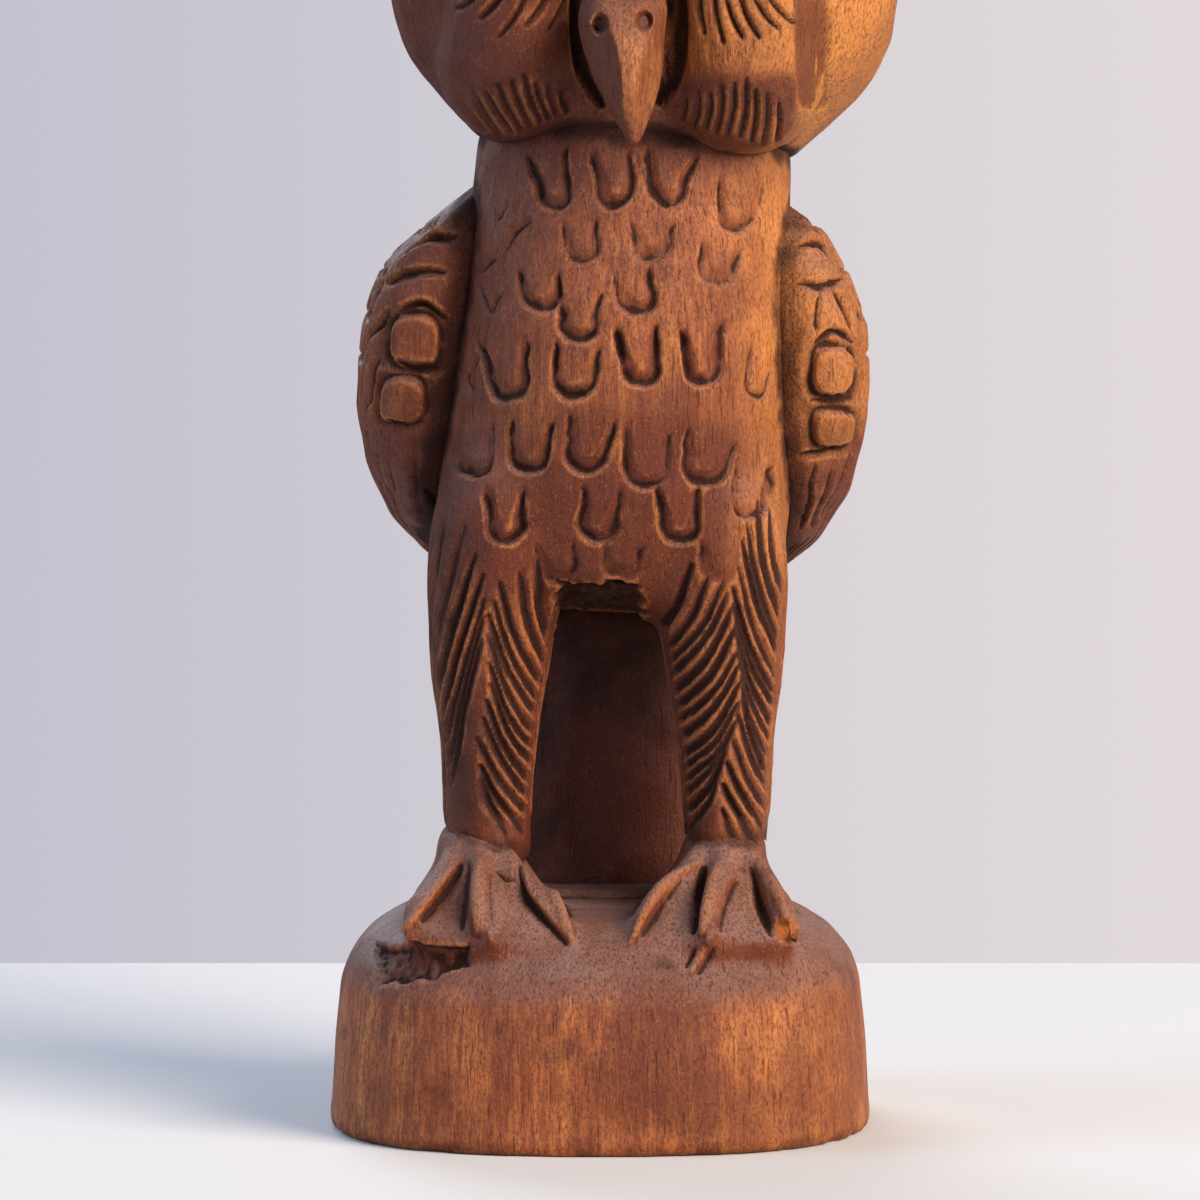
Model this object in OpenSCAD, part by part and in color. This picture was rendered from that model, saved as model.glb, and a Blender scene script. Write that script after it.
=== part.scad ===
// Carved wooden owl standing on a round plinth.
// The owl faces -Y, +Z is up, and the origin is the middle of the plinth's underside.
// Left and right are the owl's own, so its left side is at +X. Sizes are in millimetres.

/* [Plinth] */
// Width of the plinth, side to side
plinth_w = 118; // [110:1:130]
// Depth of the plinth, front to back
plinth_d = 112; // [104:1:124]
// Height of the plinth's flat top
plinth_h = 48; // [44:0.5:52]

/* [Figure] */
// Height of the crown of the head above the table
crown_h = 294; // [288:1:300]
// Half width of the chest
chest_w = 38; // [36:0.5:40]
// Distance from the middle of the body to the outside of a wing
wing_out = 56; // [54:0.5:58]
// Distance of each leg from the middle of the body
leg_apart = 25.5; // [24.5:0.5:26.5]
// How far the ankles stand to the left of the plinth's middle
stand_off = 1.5; // [0:0.5:2]
// How far the body leans to its left above the hips, in degrees
lean = 3.4; // [0:0.2:4]

/* [Head] */
// Half width of the head at the eyes
head_w = 56; // [54:0.5:58]
// How far the head turns to its right, in degrees
head_turn = 5; // [0:0.5:6]
// Distance of each eye from the middle of the face
eye_apart = 22; // [21:0.5:23]
// Radius of an eyeball
eye_r = 9; // [8:0.5:10]
// Sideways drift of the beak's tip
beak_drift = 4.5; // [0:0.5:5]

/* [Hidden] */

wood = "#8f4f2f";
wood_light = "#b06a3a";
wood_dark = "#5f3524";

sides = 32;            // corners round a large form
fine_sides = 20;       // corners round a small form
eye_z = crown_h - 44;  // height of the eyes
neck_z = 211;          // height of the neck under the head
hip_z = 112;           // height of the hips
fork_z = hip_z - 5;    // height at which the thighs part from the body
plinth_skirt = 5;      // stretch of the plinth form that is sawn off to leave a flat underside

// ---- Lofted forms --------------------------------------------------------
// A station is [z, middle x, front y, back y, half width, squareness].

function catmull(a, b, c, d, t) =
    0.5 * (2 * b + (c - a) * t + (2 * a - 5 * b + 4 * c - d) * pow(t, 2)
        + (3 * b - a - 3 * c + d) * pow(t, 3));

function between(rows, steps) = [
    for (i = [0 : len(rows) - 2], s = [0 : steps - 1])
        catmull(rows[max(i - 1, 0)], rows[i], rows[i + 1], rows[min(i + 2, len(rows) - 1)], s / steps),
    rows[len(rows) - 1]
];

function bend(v, power) = sign(v) * pow(abs(v), power);

function ring(s, n) = [
    for (k = [0 : n - 1])
        let (a = 360 * k / n)
        [
            s[1] + s[4] * bend(cos(a), 2 / s[5]),
            (s[2] + s[3]) / 2 + (s[3] - s[2]) / 2 * bend(sin(a), 2 / s[5]),
            s[0]
        ]
];

module loft(stations, n = sides, steps = 2) {
    rows = between(stations, steps);
    last = len(rows) - 1;
    points = [for (row = rows) each ring(row, n)];
    skin = [
        for (i = [0 : last - 1], k = [0 : n - 1])
            let (j = (k + 1) % n)
            each [
                [i * n + k, (i + 1) * n + k, (i + 1) * n + j],
                [i * n + k, (i + 1) * n + j, i * n + j]
            ]
    ];
    bottom = [for (k = [0 : n - 1]) k];
    top = [for (k = [n - 1 : -1 : 0]) last * n + k];
    polyhedron(points, concat(skin, [bottom, top]), convexity = 6);
}

// Takes its children as one carved surface
module carved() {
    resize([0, 0, 0]) children();
}

// The legs and the tail stand upright, a little to one side
module standing() {
    translate([stand_off, 0, 0]) children();
}

// Everything above the hips leans
module leaning() {
    translate([stand_off, 0, hip_z]) rotate([0, lean, 0]) translate([0, 0, -hip_z]) children();
}

// Everything on the head also turns with it
module turned() {
    leaning() rotate([0, 0, -head_turn]) children();
}

// A form made for the owl's left side, put on the side that is asked for
module on_side(side) {
    if (side > 0) children();
    else mirror([1, 0, 0]) children();
}

// A tapered limb with round ends
module limb(from, to, r_from, r_to) {
    hull() {
        translate(from) sphere(r = r_from, $fn = fine_sides);
        translate(to) sphere(r = r_to, $fn = fine_sides);
    }
}

// An ellipsoid
module egg(middle, radii, n = sides) {
    translate(middle) scale(radii) sphere(r = 1, $fn = n);
}

// ---- Forms: whole shapes that the pieces are cut from ---------------------

module plinth_form() {
    w = plinth_w / 2;
    d = plinth_d / 2;
    function row(z, inset) = [z, 0, inset - d, d - inset, w - inset, 2.6];
    loft([
        row(-plinth_skirt, 0.6), row(0.6, 0.6), row(2.5, 0), row(plinth_h * 0.4, 0.8),
        row(plinth_h * 0.66, 2.2), row(plinth_h * 0.78, 4.4), row(plinth_h * 0.88, 8.4),
        row(plinth_h * 0.95, 13.5), row(plinth_h * 0.985, 19), row(plinth_h, 26)
    ], 40, 1);
}

module torso_form() {
    w = chest_w;
    leaning() loft([
        [hip_z - 2.5, 0, -14, 32, w * 0.62, 2.2],
        [hip_z - 1, 0, -24, 35, w * 0.84, 2.3],
        [hip_z + 4, 0, -31.5, 37.5, w * 0.96, 2.3],
        [hip_z + 12, 0, -36, 39, w * 1.01, 2.3],
        [hip_z + 24, 0, -39.5, 39.5, w * 1.02, 2.3],
        [hip_z + 42, 0, -41, 39, w, 2.2],
        [hip_z + 60, 0, -40, 38, w * 0.98, 2.2],
        [hip_z + 78, 0, -37, 36, w * 0.94, 2.2],
        [neck_z - 8, 0, -34.5, 34, w * 0.915, 2.1],
        [neck_z + 1, 0, -32.5, 33, w * 0.9, 2.1],
        [neck_z + 8, 0, -29, 31, w * 0.8, 2],
        [neck_z + 13, 0, -22, 25, w * 0.6, 2]
    ]);
}

// A leg from the ankle to the thigh, which bulges under the side of the belly
module leg_form(side) {
    standing() on_side(side) loft([
        [plinth_h + 8, leg_apart + 0.3, -25.5, 2, 9.4, 2.2],
        [plinth_h + 20, leg_apart + 0.3, -26.5, 2, 9.8, 2.2],
        [plinth_h + 35, leg_apart, -29, 2.5, 11, 2.3],
        [plinth_h + 50, leg_apart - 0.4, -31.5, 4, 13, 2.3],
        [hip_z, leg_apart - 1.2, -33.5, 6, 14.8, 2.3],
        [hip_z + 12, leg_apart - 3, -36, 9, 16.4, 2.3],
        [hip_z + 25, leg_apart - 5.5, -36.5, 11, 16.6, 2.2],
        [hip_z + 36, leg_apart - 8, -33, 9, 14, 2.1],
        [hip_z + 44, leg_apart - 10, -25, 4, 9, 2]
    ], 28);
}

// Keeps what is above (up = 1) or below (up = 0) the height at which the thighs part
module fork_side(up) {
    reach = 200;
    intersection() {
        children();
        translate([-reach / 2, -reach / 2, fork_z - (1 - up) * reach]) cube(reach);
    }
}

// The instep fans out from the ankle into three long toes, each ending in a claw
module foot_form(side) {
    ankle = plinth_h + 14;
    toe_tips = [[leg_apart - 19, -46], [leg_apart - 3, -50], [leg_apart + 15.5, -44]];
    knuckles = [[leg_apart - 5.5, -23], [leg_apart + 0.8, -25.5], [leg_apart + 6.8, -22]];
    function point(p, z) = [p[0], p[1], z];
    on_side(side) {
        loft([
            [plinth_h - 6, leg_apart - 0.5, -38, 9, 18, 2],
            [plinth_h, leg_apart - 0.3, -35.5, 8.5, 16, 2],
            [plinth_h + 7, leg_apart + 0.4, -30, 6.5, 12.6, 2],
            [ankle, leg_apart + 1.4, -26.5, 4, 10.6, 2.1],
            [ankle + 3, leg_apart + 1.6, -24, 1, 8.5, 2.1]
        ], 24);
        hull() {
            for (toe = [0 : 2])
                translate(point(toe_tips[toe] * 0.86 + knuckles[toe] * 0.14, plinth_h - 5))
                    sphere(r = 2.4, $fn = 12);
            translate([leg_apart + 1, -14, ankle - 5]) sphere(r = 8.5, $fn = fine_sides);
        }
        for (toe = [0 : 2]) {
            middle = point((knuckles[toe] + 2 * toe_tips[toe]) / 3, plinth_h + 1.6);
            limb(point(knuckles[toe], ankle - 4), middle, 4.2, 3.7);
            limb(middle, point(toe_tips[toe], plinth_h - 4), 3.7, 1.3);
        }
    }
}

module tail_form() {
    standing() loft([
        [plinth_h - 4, 0, 13, 38, 25, 2.6],
        [plinth_h + 14, 0, 14, 38, 24, 2.6],
        [plinth_h + 32, 0, 14.5, 38.5, 25, 2.6],
        [plinth_h + 52, 0, 15, 40, 27, 2.5],
        [hip_z + 8, 1, 16, 42, 29, 2.4],
        [hip_z + 24, 1.5, 20, 43, 27, 2.2],
        [hip_z + 40, 2.5, 27, 42.5, 18, 2],
        [hip_z + 48, 3, 33, 41, 9, 2]
    ], 28);
}

module wing_form(side) {
    out = wing_out + (side < 0 ? 1.5 : -1.5);
    // [z, outside, half thickness, front y, back y]
    rows = [
        [hip_z - 8, out - 32, 5, 26, 42],
        [hip_z - 1, out - 24, 7, 19, 43],
        [hip_z + 7, out - 17.5, 9, 12, 42.5],
        [hip_z + 16, out - 8, 11.5, 1, 40],
        [hip_z + 27, out - 2.2, 13.5, -10, 37.5],
        [hip_z + 39, out, 14.5, -17, 35],
        [hip_z + 52, out + 0.4, 15, -21, 33],
        [hip_z + 64, out - 1.2, 14.5, -21.5, 31],
        [hip_z + 75, out - 5, 13, -19, 28],
        [hip_z + 84, out - 11, 11, -14, 23],
        [hip_z + 91, out - 20, 8, -6, 15]
    ];
    leaning() on_side(side) loft([for (r = rows) [r[0], r[1] - r[2], r[3], r[4], r[2], 2.2]], 28, 1);
}

module head_form() {
    turned() loft([
        [neck_z - 1, 0, -30, 33, 33.5, 2.1],
        [neck_z + 4, 0, -34, 38, 38.5, 2.1],
        [neck_z + 10, 0, -37, 42.5, 44.5, 2.2],
        [neck_z + 17, 0, -39.5, 46, 50.5, 2.2],
        [neck_z + 25, 0, -41, 48, head_w - 2, 2.3],
        [eye_z - 6, 0, -42, 49, head_w, 2.3],
        [eye_z + 8, 0, -42, 49, head_w - 1.5, 2.3],
        [eye_z + 21, 0, -40, 46, head_w - 6.5, 2.3],
        [crown_h - 12, 0, -34, 39, head_w - 14.5, 2.2],
        [crown_h - 4, 0, -25, 29, head_w - 27, 2.1],
        [crown_h, 0, -11, 13, head_w - 43, 2]
    ]);
}

// One lobe of the face: the saucer round the eye and the cheek that hangs over the neck
module face_disc_form(side) {
    turned() on_side(side) intersection() {
        hull() {
            egg([21.5, -22, eye_z + 3], [19.5, 27, 23]);
            egg([23, -20, eye_z - 22], [19, 27, 19.5]);
        }
        translate([0, -80, neck_z - 10]) cube([80, 70, crown_h - neck_z]);
    }
}

module eye_form(side) {
    turned() on_side(side) egg([eye_apart, -44, eye_z], [eye_r, 7.5, eye_r], fine_sides);
}

// A ridge that rises from the root of the beak, over the eye, to the ear tuft
module brow_form(side) {
    turned() on_side(side) {
        hull() {
            egg([5, -46, eye_z - 3], [4, 6.5, 5.5], fine_sides);
            egg([20, -43, eye_z + 17], [7, 8, 5], fine_sides);
        }
        hull() {
            egg([20, -43, eye_z + 17], [7, 8, 5], fine_sides);
            egg([40, -28, eye_z + 29], [6, 9, 6], fine_sides);
        }
    }
}

module ear_tuft_form(side) {
    turned() on_side(side) hull() {
        egg([31, -8, crown_h - 15], [13, 19, 10], fine_sides);
        egg([42, -20, crown_h - 3], [6, 8, 6], fine_sides);
        egg([46, -21, crown_h + 5], [2.4, 3.2, 2.6], fine_sides);
    }
}

module beak_form() {
    function drift(share) = beak_drift * share;
    turned() loft([
        [neck_z - 2.5, drift(1), -58.5, -55.5, 1, 2],
        [neck_z + 1, drift(0.9), -61, -51, 2.8, 2],
        [neck_z + 7, drift(0.65), -62.5, -43, 5.4, 2],
        [neck_z + 14, drift(0.3), -62.5, -38, 7.8, 2.1],
        [neck_z + 21, 0, -61, -36, 9, 2.2],
        [neck_z + 26, 0, -57.5, -35, 9.2, 2.2],
        [neck_z + 30, 0, -52, -35, 8, 2.1],
        [neck_z + 32, 0, -46, -36, 4.5, 2]
    ], fine_sides);
}

module nostrils() {
    turned() for (side = [-1, 1])
        translate([side * 4.9, -62, neck_z + 23.5]) rotate([-70, 0, 0])
            cylinder(r = 1.7, h = 6, center = true, $fn = 16);
}

// The bored pupil
module pupil(side) {
    turned() on_side(side) translate([eye_apart, -51, eye_z]) rotate([90, 0, 0])
        cylinder(r = eye_r * 0.36, h = 4.4, center = true, $fn = 16);
}

// ---- Pieces ---------------------------------------------------------------

module plinth() {
    color(wood_light) difference() {
        plinth_form();
        translate([-plinth_w, -plinth_d, -2 * plinth_skirt]) cube([2 * plinth_w, 2 * plinth_d, 2 * plinth_skirt]);
    }
}

// The trunk with the thighs
module torso() {
    color(wood) carved() {
        torso_form();
        for (side = [-1, 1])
            fork_side(1) leg_form(side);
    }
}

module leg(side) {
    color(wood_dark) carved() difference() {
        fork_side(0) leg_form(side);
        foot_form(side);
    }
}

module foot(side) {
    color(wood_light) carved() difference() {
        foot_form(side);
        plinth_form();
    }
}

module tail() {
    color(wood_dark) carved() difference() {
        tail_form();
        torso_form();
        plinth_form();
    }
}

module wing(side) {
    color(wood) carved() difference() {
        wing_form(side);
        torso_form();
        tail_form();
        leg_form(side);
    }
}

module head() {
    color(wood_light) carved() difference() {
        head_form();
        torso_form();
        beak_form();
        for (side = [-1, 1]) {
            face_disc_form(side);
            eye_form(side);
            brow_form(side);
        }
    }
}

module face_disc(side) {
    color(wood_light) carved() difference() {
        face_disc_form(side);
        torso_form();
        beak_form();
        eye_form(side);
        brow_form(side);
    }
}

module eye(side) {
    color(wood) carved() difference() {
        eye_form(side);
        brow_form(side);
        pupil(side);
    }
}

module brow(side) {
    color(wood_light) carved() difference() {
        brow_form(side);
        beak_form();
    }
}

module ear_tuft(side) {
    color(wood) carved() difference() {
        ear_tuft_form(side);
        head_form();
        brow_form(side);
    }
}

module beak() {
    color(wood_dark) carved() difference() {
        beak_form();
        torso_form();
        nostrils();
    }
}

LEFT = 1;
RIGHT = -1;

plinth();
tail();
torso();
leg(LEFT);  // left_leg
leg(RIGHT);  // right_leg
foot(LEFT);  // left_foot
foot(RIGHT);  // right_foot
wing(LEFT);  // left_wing
wing(RIGHT);  // right_wing
head();
face_disc(LEFT);  // left_face_disc
face_disc(RIGHT);  // right_face_disc
eye(LEFT);  // left_eye
eye(RIGHT);  // right_eye
brow(LEFT);  // left_brow
brow(RIGHT);  // right_brow
ear_tuft(LEFT);  // left_ear_tuft
ear_tuft(RIGHT);  // right_ear_tuft
beak();
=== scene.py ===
"""Looks of a carved wooden owl: dense carved pieces, stained wood, table and studio light."""

import logging
import math
from dataclasses import dataclass, field
from enum import Enum
from itertools import product
from typing import Callable, Iterable, Sequence

import bpy
import numpy as np
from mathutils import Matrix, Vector
from mathutils.bvhtree import BVHTree


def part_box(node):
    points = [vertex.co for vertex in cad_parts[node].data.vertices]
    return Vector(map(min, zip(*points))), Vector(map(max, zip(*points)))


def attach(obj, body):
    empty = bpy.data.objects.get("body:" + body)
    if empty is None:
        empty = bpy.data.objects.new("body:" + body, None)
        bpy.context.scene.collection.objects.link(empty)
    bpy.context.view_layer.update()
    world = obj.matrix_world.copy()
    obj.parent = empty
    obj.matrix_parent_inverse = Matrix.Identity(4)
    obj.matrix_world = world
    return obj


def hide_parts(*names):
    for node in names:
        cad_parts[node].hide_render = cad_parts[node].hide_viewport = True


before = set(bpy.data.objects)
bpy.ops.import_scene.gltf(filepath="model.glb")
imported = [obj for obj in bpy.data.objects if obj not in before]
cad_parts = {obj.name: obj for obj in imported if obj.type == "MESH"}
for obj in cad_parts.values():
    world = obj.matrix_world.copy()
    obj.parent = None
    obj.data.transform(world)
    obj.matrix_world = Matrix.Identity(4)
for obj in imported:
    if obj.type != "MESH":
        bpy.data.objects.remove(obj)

MM = 0.001
EYE_AWAY = 1000.0
EYE_UP = 156.0
FAR = 99.0
LOG = logging.getLogger("owl")
Array = np.ndarray
Point = tuple[float, float]
Colour = tuple[float, float, float]


class Side(Enum):
    """The owl's own sides: its left is at +X."""

    LEFT = 1
    RIGHT = -1

    @property
    def word(self) -> str:
        """The side's name, as nodes and pieces carry it."""
        return self.name.lower()


class Trace(Enum):
    """What carving leaves on the wood, and where shade is painted into its colour, kept as a number on
    every point of a piece.
    """

    # Darkens towards near-black: stain and grime in cuts, and painted shade in hollows, between parts and
    # on the side away from the key lamp.
    HOLLOW = "hollow"
    RUB = "rub"
    # Darkens towards the deep wood colour: real stain, and painted shade on the side away from the key
    # lamp, under the head, in recessed bands and in the tail's cavity.
    STAIN = "stain"
    BARE = "bare"
    ROUGH = "rough"


# ---- Number work ----------------------------------------------------------


def ease(values: Array, low: float, high: float) -> Array:
    """Rises smoothly from 0 at low to 1 at high, or falls if high is the smaller."""
    share = np.clip((values - low) / (high - low), 0.0, 1.0)
    return share * share * (3.0 - 2.0 * share)


def scatter(cells: Array, seed: int) -> Array:
    """Gives every whole-number cell its own fixed value.

    Args:
        cells: Cell numbers, three to a row.
        seed: Picks another set of values.

    Returns:
        One value from 0 to 1 for each row.
    """
    whole = cells.astype(np.int64)
    mixed = (whole[:, 0] * 73856093) ^ (whole[:, 1] * 19349663) ^ (whole[:, 2] * 83492791)
    mixed = (mixed ^ (seed * 40503)) & 0xFFFFFFFF
    mixed = ((mixed ^ (mixed >> 13)) * 1274126177) & 0xFFFFFFFF
    return ((mixed ^ (mixed >> 16)) & 0xFFFF) / 65535.0


def wobble(points: Array, size: float, seed: int) -> Array:
    """Smooth noise from -1 to 1.

    Args:
        points: Points in millimetres.
        size: Width of one swell, in millimetres.
        seed: Picks another pattern.

    Returns:
        The noise at each point.
    """
    place = points / size
    cell = np.floor(place)
    inside = place - cell
    inside = inside * inside * (3.0 - 2.0 * inside)
    total = np.zeros(len(points))
    for corner in product((0, 1), repeat=3):
        weight = np.ones(len(points))
        for axis, end in enumerate(corner):
            weight *= inside[:, axis] if end else 1.0 - inside[:, axis]
        total += weight * scatter(cell + corner, seed)
    return 2.0 * total - 1.0


def scoops(points: Array, size: float, seed: int) -> Array:
    """The shallow hollows that a wide gouge leaves side by side.

    Args:
        points: Points in millimetres.
        size: Distance between hollows, in millimetres.
        seed: Picks another pattern.

    Returns:
        1 in the middle of a hollow and 0 on the ridges between hollows.
    """
    place = points / size
    cell = np.floor(place)
    nearest = np.full(len(points), 9.0)
    for step in product((-1, 0, 1), repeat=3):
        home = cell + step
        offset = np.stack([scatter(home, seed + axis) for axis in range(3)], 1)
        nearest = np.minimum(nearest, ((home + offset - place) ** 2).sum(1))
    return 1.0 - np.clip(nearest, 0.0, 1.0)


def sighted(points: Array) -> tuple[Array, Array]:
    """Where points seem to lie on an upright sheet, seen from a metre in front.

    Args:
        points: Points in millimetres.

    Returns:
        Their places across and up the sheet, in millimetres.
    """
    shrink = EYE_AWAY / (EYE_AWAY + points[:, 1])
    return points[:, 0] * shrink, EYE_UP + (points[:, 2] - EYE_UP) * shrink


def trench(distance: Array, width: float, depth: float, point: float = 1.4) -> Array:
    """Cross-section of a cut with a soft V bottom.

    Args:
        distance: Distance from the middle of the cut.
        width: Width of the cut.
        depth: Depth in the middle.
        point: 1 is a straight V, and more rounds the edges.

    Returns:
        The depth at each distance.
    """
    return depth * np.clip(1.0 - np.abs(distance) / (width / 2), 0.0, 1.0) ** point


def comb(phase: Array, fill: float) -> Array:
    """Repeats a V cut once for every whole number of phase, filling a share of the pitch."""
    gap = np.abs(phase - np.round(phase))
    return np.clip(1.0 - gap / (fill / 2), 0.0, 1.0)


# ---- Working a lump of wood ------------------------------------------------


def select_only(*pieces: bpy.types.Object) -> None:
    """Selects these objects and nothing else, and makes the first one active."""
    bpy.ops.object.select_all(action="DESELECT")
    for piece in pieces:
        piece.select_set(True)
    bpy.context.view_layer.objects.active = pieces[0]


@dataclass
class Lump:
    """A lump of wood being carved: a dense mesh, worked on in millimetres."""

    piece: bpy.types.Object
    co: Array = field(init=False)
    normal: Array = field(init=False)
    edges: Array = field(init=False)
    traces: dict[Trace, Array] = field(init=False)

    def __post_init__(self) -> None:
        """Reads the mesh."""
        self.measure()

    def measure(self) -> None:
        """Reads points, normals and edges, and starts every trace at nothing."""
        mesh = self.piece.data
        flat = np.empty(len(mesh.edges) * 2, np.int32)
        mesh.edges.foreach_get("vertices", flat)
        self.edges = flat.reshape(-1, 2)
        self.read()
        self.traces = {trace: np.zeros(len(self.co)) for trace in Trace}

    def read(self) -> None:
        """Reads the points and normals."""
        mesh = self.piece.data
        flat = np.empty(len(mesh.vertices) * 3, np.float32)
        mesh.vertices.foreach_get("co", flat)
        self.co = flat.reshape(-1, 3).astype(float) / MM
        mesh.vertex_normals.foreach_get("vector", flat)
        self.normal = flat.reshape(-1, 3).astype(float)

    def write(self) -> None:
        """Puts the points back in the mesh."""
        mesh = self.piece.data
        mesh.vertices.foreach_set("co", (self.co * MM).astype(np.float32).ravel())
        mesh.update()

    def settle(self) -> None:
        """Puts moved points back in the mesh and reads the new normals."""
        self.write()
        self.read()

    def cut(self, depth: Array) -> None:
        """Takes wood away along the surface's own normals, or adds it where depth is negative."""
        self.co -= self.normal * depth[:, None]
        self.settle()

    def carve(self, depth: Array, start: float, full: float, share: float) -> None:
        """Makes cuts that hold grime in their bottoms.

        Args:
            depth: Depth of the cuts at each point, in millimetres.
            start: Depth at which grime begins to collect.
            full: Depth from which it collects no more.
            share: How dark it then is, from 0 to 1.
        """
        self.mark(Trace.HOLLOW, ease(depth, start, full) * share)
        self.cut(depth)

    def plane_off(self, normal: Sequence[float], bite: float, where: Array) -> None:
        """Planes a flat facet on the side that faces along normal.

        Args:
            normal: Direction that the facet faces.
            bite: How far below the highest point it lies, in millimetres.
            where: True for the points that the plane may touch.
        """
        way = np.array(normal) / np.linalg.norm(normal)
        reach = self.co @ way
        over = np.clip(reach - (reach[where].max() - bite), 0.0, None) * where
        self.co -= over[:, None] * way
        self.settle()

    def mark(self, trace: Trace, amount: Array) -> None:
        """Deepens a trace where amount is more than what is there."""
        self.traces[trace] = np.maximum(self.traces[trace], np.clip(amount, 0.0, 1.0))

    def spread(self, values: Array, rounds: int) -> Array:
        """Averages values with those of their neighbours.

        Args:
            values: Rows of numbers, one row for each point.
            rounds: How many times.

        Returns:
            The averaged rows.
        """
        count = len(values)
        here = np.concatenate((self.edges[:, 0], self.edges[:, 1]))
        there = np.concatenate((self.edges[:, 1], self.edges[:, 0]))
        share = np.maximum(np.bincount(here, minlength=count), 1)
        for _ in range(rounds):
            sums = [np.bincount(here, values[there, k], count) for k in range(values.shape[1])]
            values = (values + np.stack(sums, 1) / share[:, None]) / 2
        return values

    def soften(self, rounds: int, where: Array | None = None) -> None:
        """Rubs the surface down.

        Args:
            rounds: How hard.
            where: A share for each point, or everywhere alike.
        """
        smooth = self.spread(self.co, rounds)
        share = 1.0 if where is None else where[:, None]
        self.co += (smooth - self.co) * share
        self.settle()

    def facing(self, low: float = 0.12, high: float = 0.42) -> Array:
        """How much each point faces the front, from 0 to 1."""
        away = self.co - np.array((0.0, -EYE_AWAY, EYE_UP))
        away /= np.linalg.norm(away, axis=1)[:, None]
        return ease(-(self.normal * away).sum(1), low, high)

    def gap_to(self, *nodes: str) -> Array:
        """Distance from every point to the nearest of these solids, in millimetres."""
        gap = np.full(len(self.co), FAR)
        for node in nodes:
            tree = solid_tree(node)
            near = (tree.find_nearest(Vector(point) * MM, 9.0 * MM)[3] for point in self.co)
            found = np.array([FAR if reach is None else reach / MM for reach in near])
            gap = np.minimum(gap, found)
        return gap

    def read_relief(self) -> None:
        """Marks painted shade, with stain, in hollows, fine and broad, and rubbed ridges, from the finished
        shape.
        """
        fine = self.spread(self.co, 5)
        broad = self.spread(fine, 30)
        ridge = ((self.co - fine) * self.normal).sum(1) / 0.16
        swell = ((fine - broad) * self.normal).sum(1) / 0.50
        # Painted shade, with stain: concave places, fine and broad, are darkened.
        self.mark(Trace.HOLLOW, ease(-ridge - swell, 0.1, 1.8))
        self.mark(Trace.RUB, ease(0.7 * ridge + swell, 0.3, 1.7))

    def keep_traces(self) -> None:
        """Stores the traces on the mesh, where the finishes read them."""
        mesh = self.piece.data
        for trace, values in self.traces.items():
            layer = mesh.attributes.new(trace.value, "FLOAT", "POINT")
            layer.data.foreach_set("value", values.astype(np.float32))


def rough_out(name: str, nodes: Sequence[str], voxel: float, sunk: dict[str, float]) -> Lump:
    """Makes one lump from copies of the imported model's own solids.

    Args:
        name: Name of the new piece.
        nodes: The solids that the lump is made of.
        voxel: Grain of the lump, in millimetres.
        sunk: Neighbours that the lump reaches into, and how far, in millimetres.

    Returns:
        The lump, with its sharp corners just rounded.
    """
    copies = []
    for node in nodes:
        copy = bpy.data.objects.new(name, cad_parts[node].data.copy())
        bpy.context.scene.collection.objects.link(copy)
        copies.append(copy)
    for copy in copies:
        sink(copy, sunk)
    select_only(*copies)
    if len(copies) > 1:
        bpy.ops.object.join()
    piece = bpy.context.view_layer.objects.active
    piece.name = name
    piece.data.materials.clear()
    bpy.ops.object.mode_set(mode="EDIT")
    bpy.ops.mesh.select_all(action="SELECT")
    bpy.ops.mesh.remove_doubles(threshold=1e-6)
    bpy.ops.object.mode_set(mode="OBJECT")
    remesh = piece.modifiers.new("lump", "REMESH")
    remesh.mode = "VOXEL"
    remesh.voxel_size = voxel * MM
    bpy.ops.object.modifier_apply(modifier=remesh.name)
    lump = Lump(piece)
    lump.soften(4)
    return lump


def middle_of(node: str) -> Array:
    """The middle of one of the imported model's solids, in millimetres."""
    low, high = np.array(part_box(node)) / MM
    return (low + high) / 2


def solid_tree(node: str) -> BVHTree:
    """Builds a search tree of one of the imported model's solids."""
    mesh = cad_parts[node].data
    mesh.calc_loop_triangles()
    faces = [tuple(face.vertices) for face in mesh.loop_triangles]
    return BVHTree.FromPolygons([point.co for point in mesh.vertices], faces)


def sink(copy: bpy.types.Object, sunk: dict[str, float]) -> None:
    """Pushes the faces that meet a neighbour into it, so that no gap opens between pieces.

    Args:
        copy: A copy of a solid.
        sunk: Neighbours' names, and how far to reach into each, in millimetres.
    """
    near = 0.25 * MM
    for node, depth in sunk.items():
        tree = solid_tree(node)
        for point in copy.data.vertices:
            place, normal, _, _ = tree.find_nearest(point.co, near)
            if place is not None:
                point.co -= normal * depth * MM


def refine(lump: Lump) -> None:
    """Splits every face in four, on a smooth surface."""
    select_only(lump.piece)
    finer = lump.piece.modifiers.new("finer", "SUBSURF")
    finer.levels = 1
    finer.render_levels = 1
    bpy.ops.object.modifier_apply(modifier=finer.name)
    lump.measure()


def refine_where(lump: Lump, chosen: Array) -> None:
    """Splits in four only the faces whose points are all chosen.

    Args:
        lump: The lump.
        chosen: True for each chosen point.
    """
    select_only(lump.piece)
    mesh = lump.piece.data
    bpy.ops.object.mode_set(mode="EDIT")
    bpy.ops.mesh.select_mode(type="VERT")
    bpy.ops.mesh.select_all(action="DESELECT")
    bpy.ops.object.mode_set(mode="OBJECT")
    mesh.vertices.foreach_set("select", chosen)
    bpy.ops.object.mode_set(mode="EDIT")
    bpy.ops.mesh.select_mode(type="FACE")
    bpy.ops.mesh.subdivide(number_cuts=1)
    bpy.ops.object.mode_set(mode="OBJECT")
    lump.measure()


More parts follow.
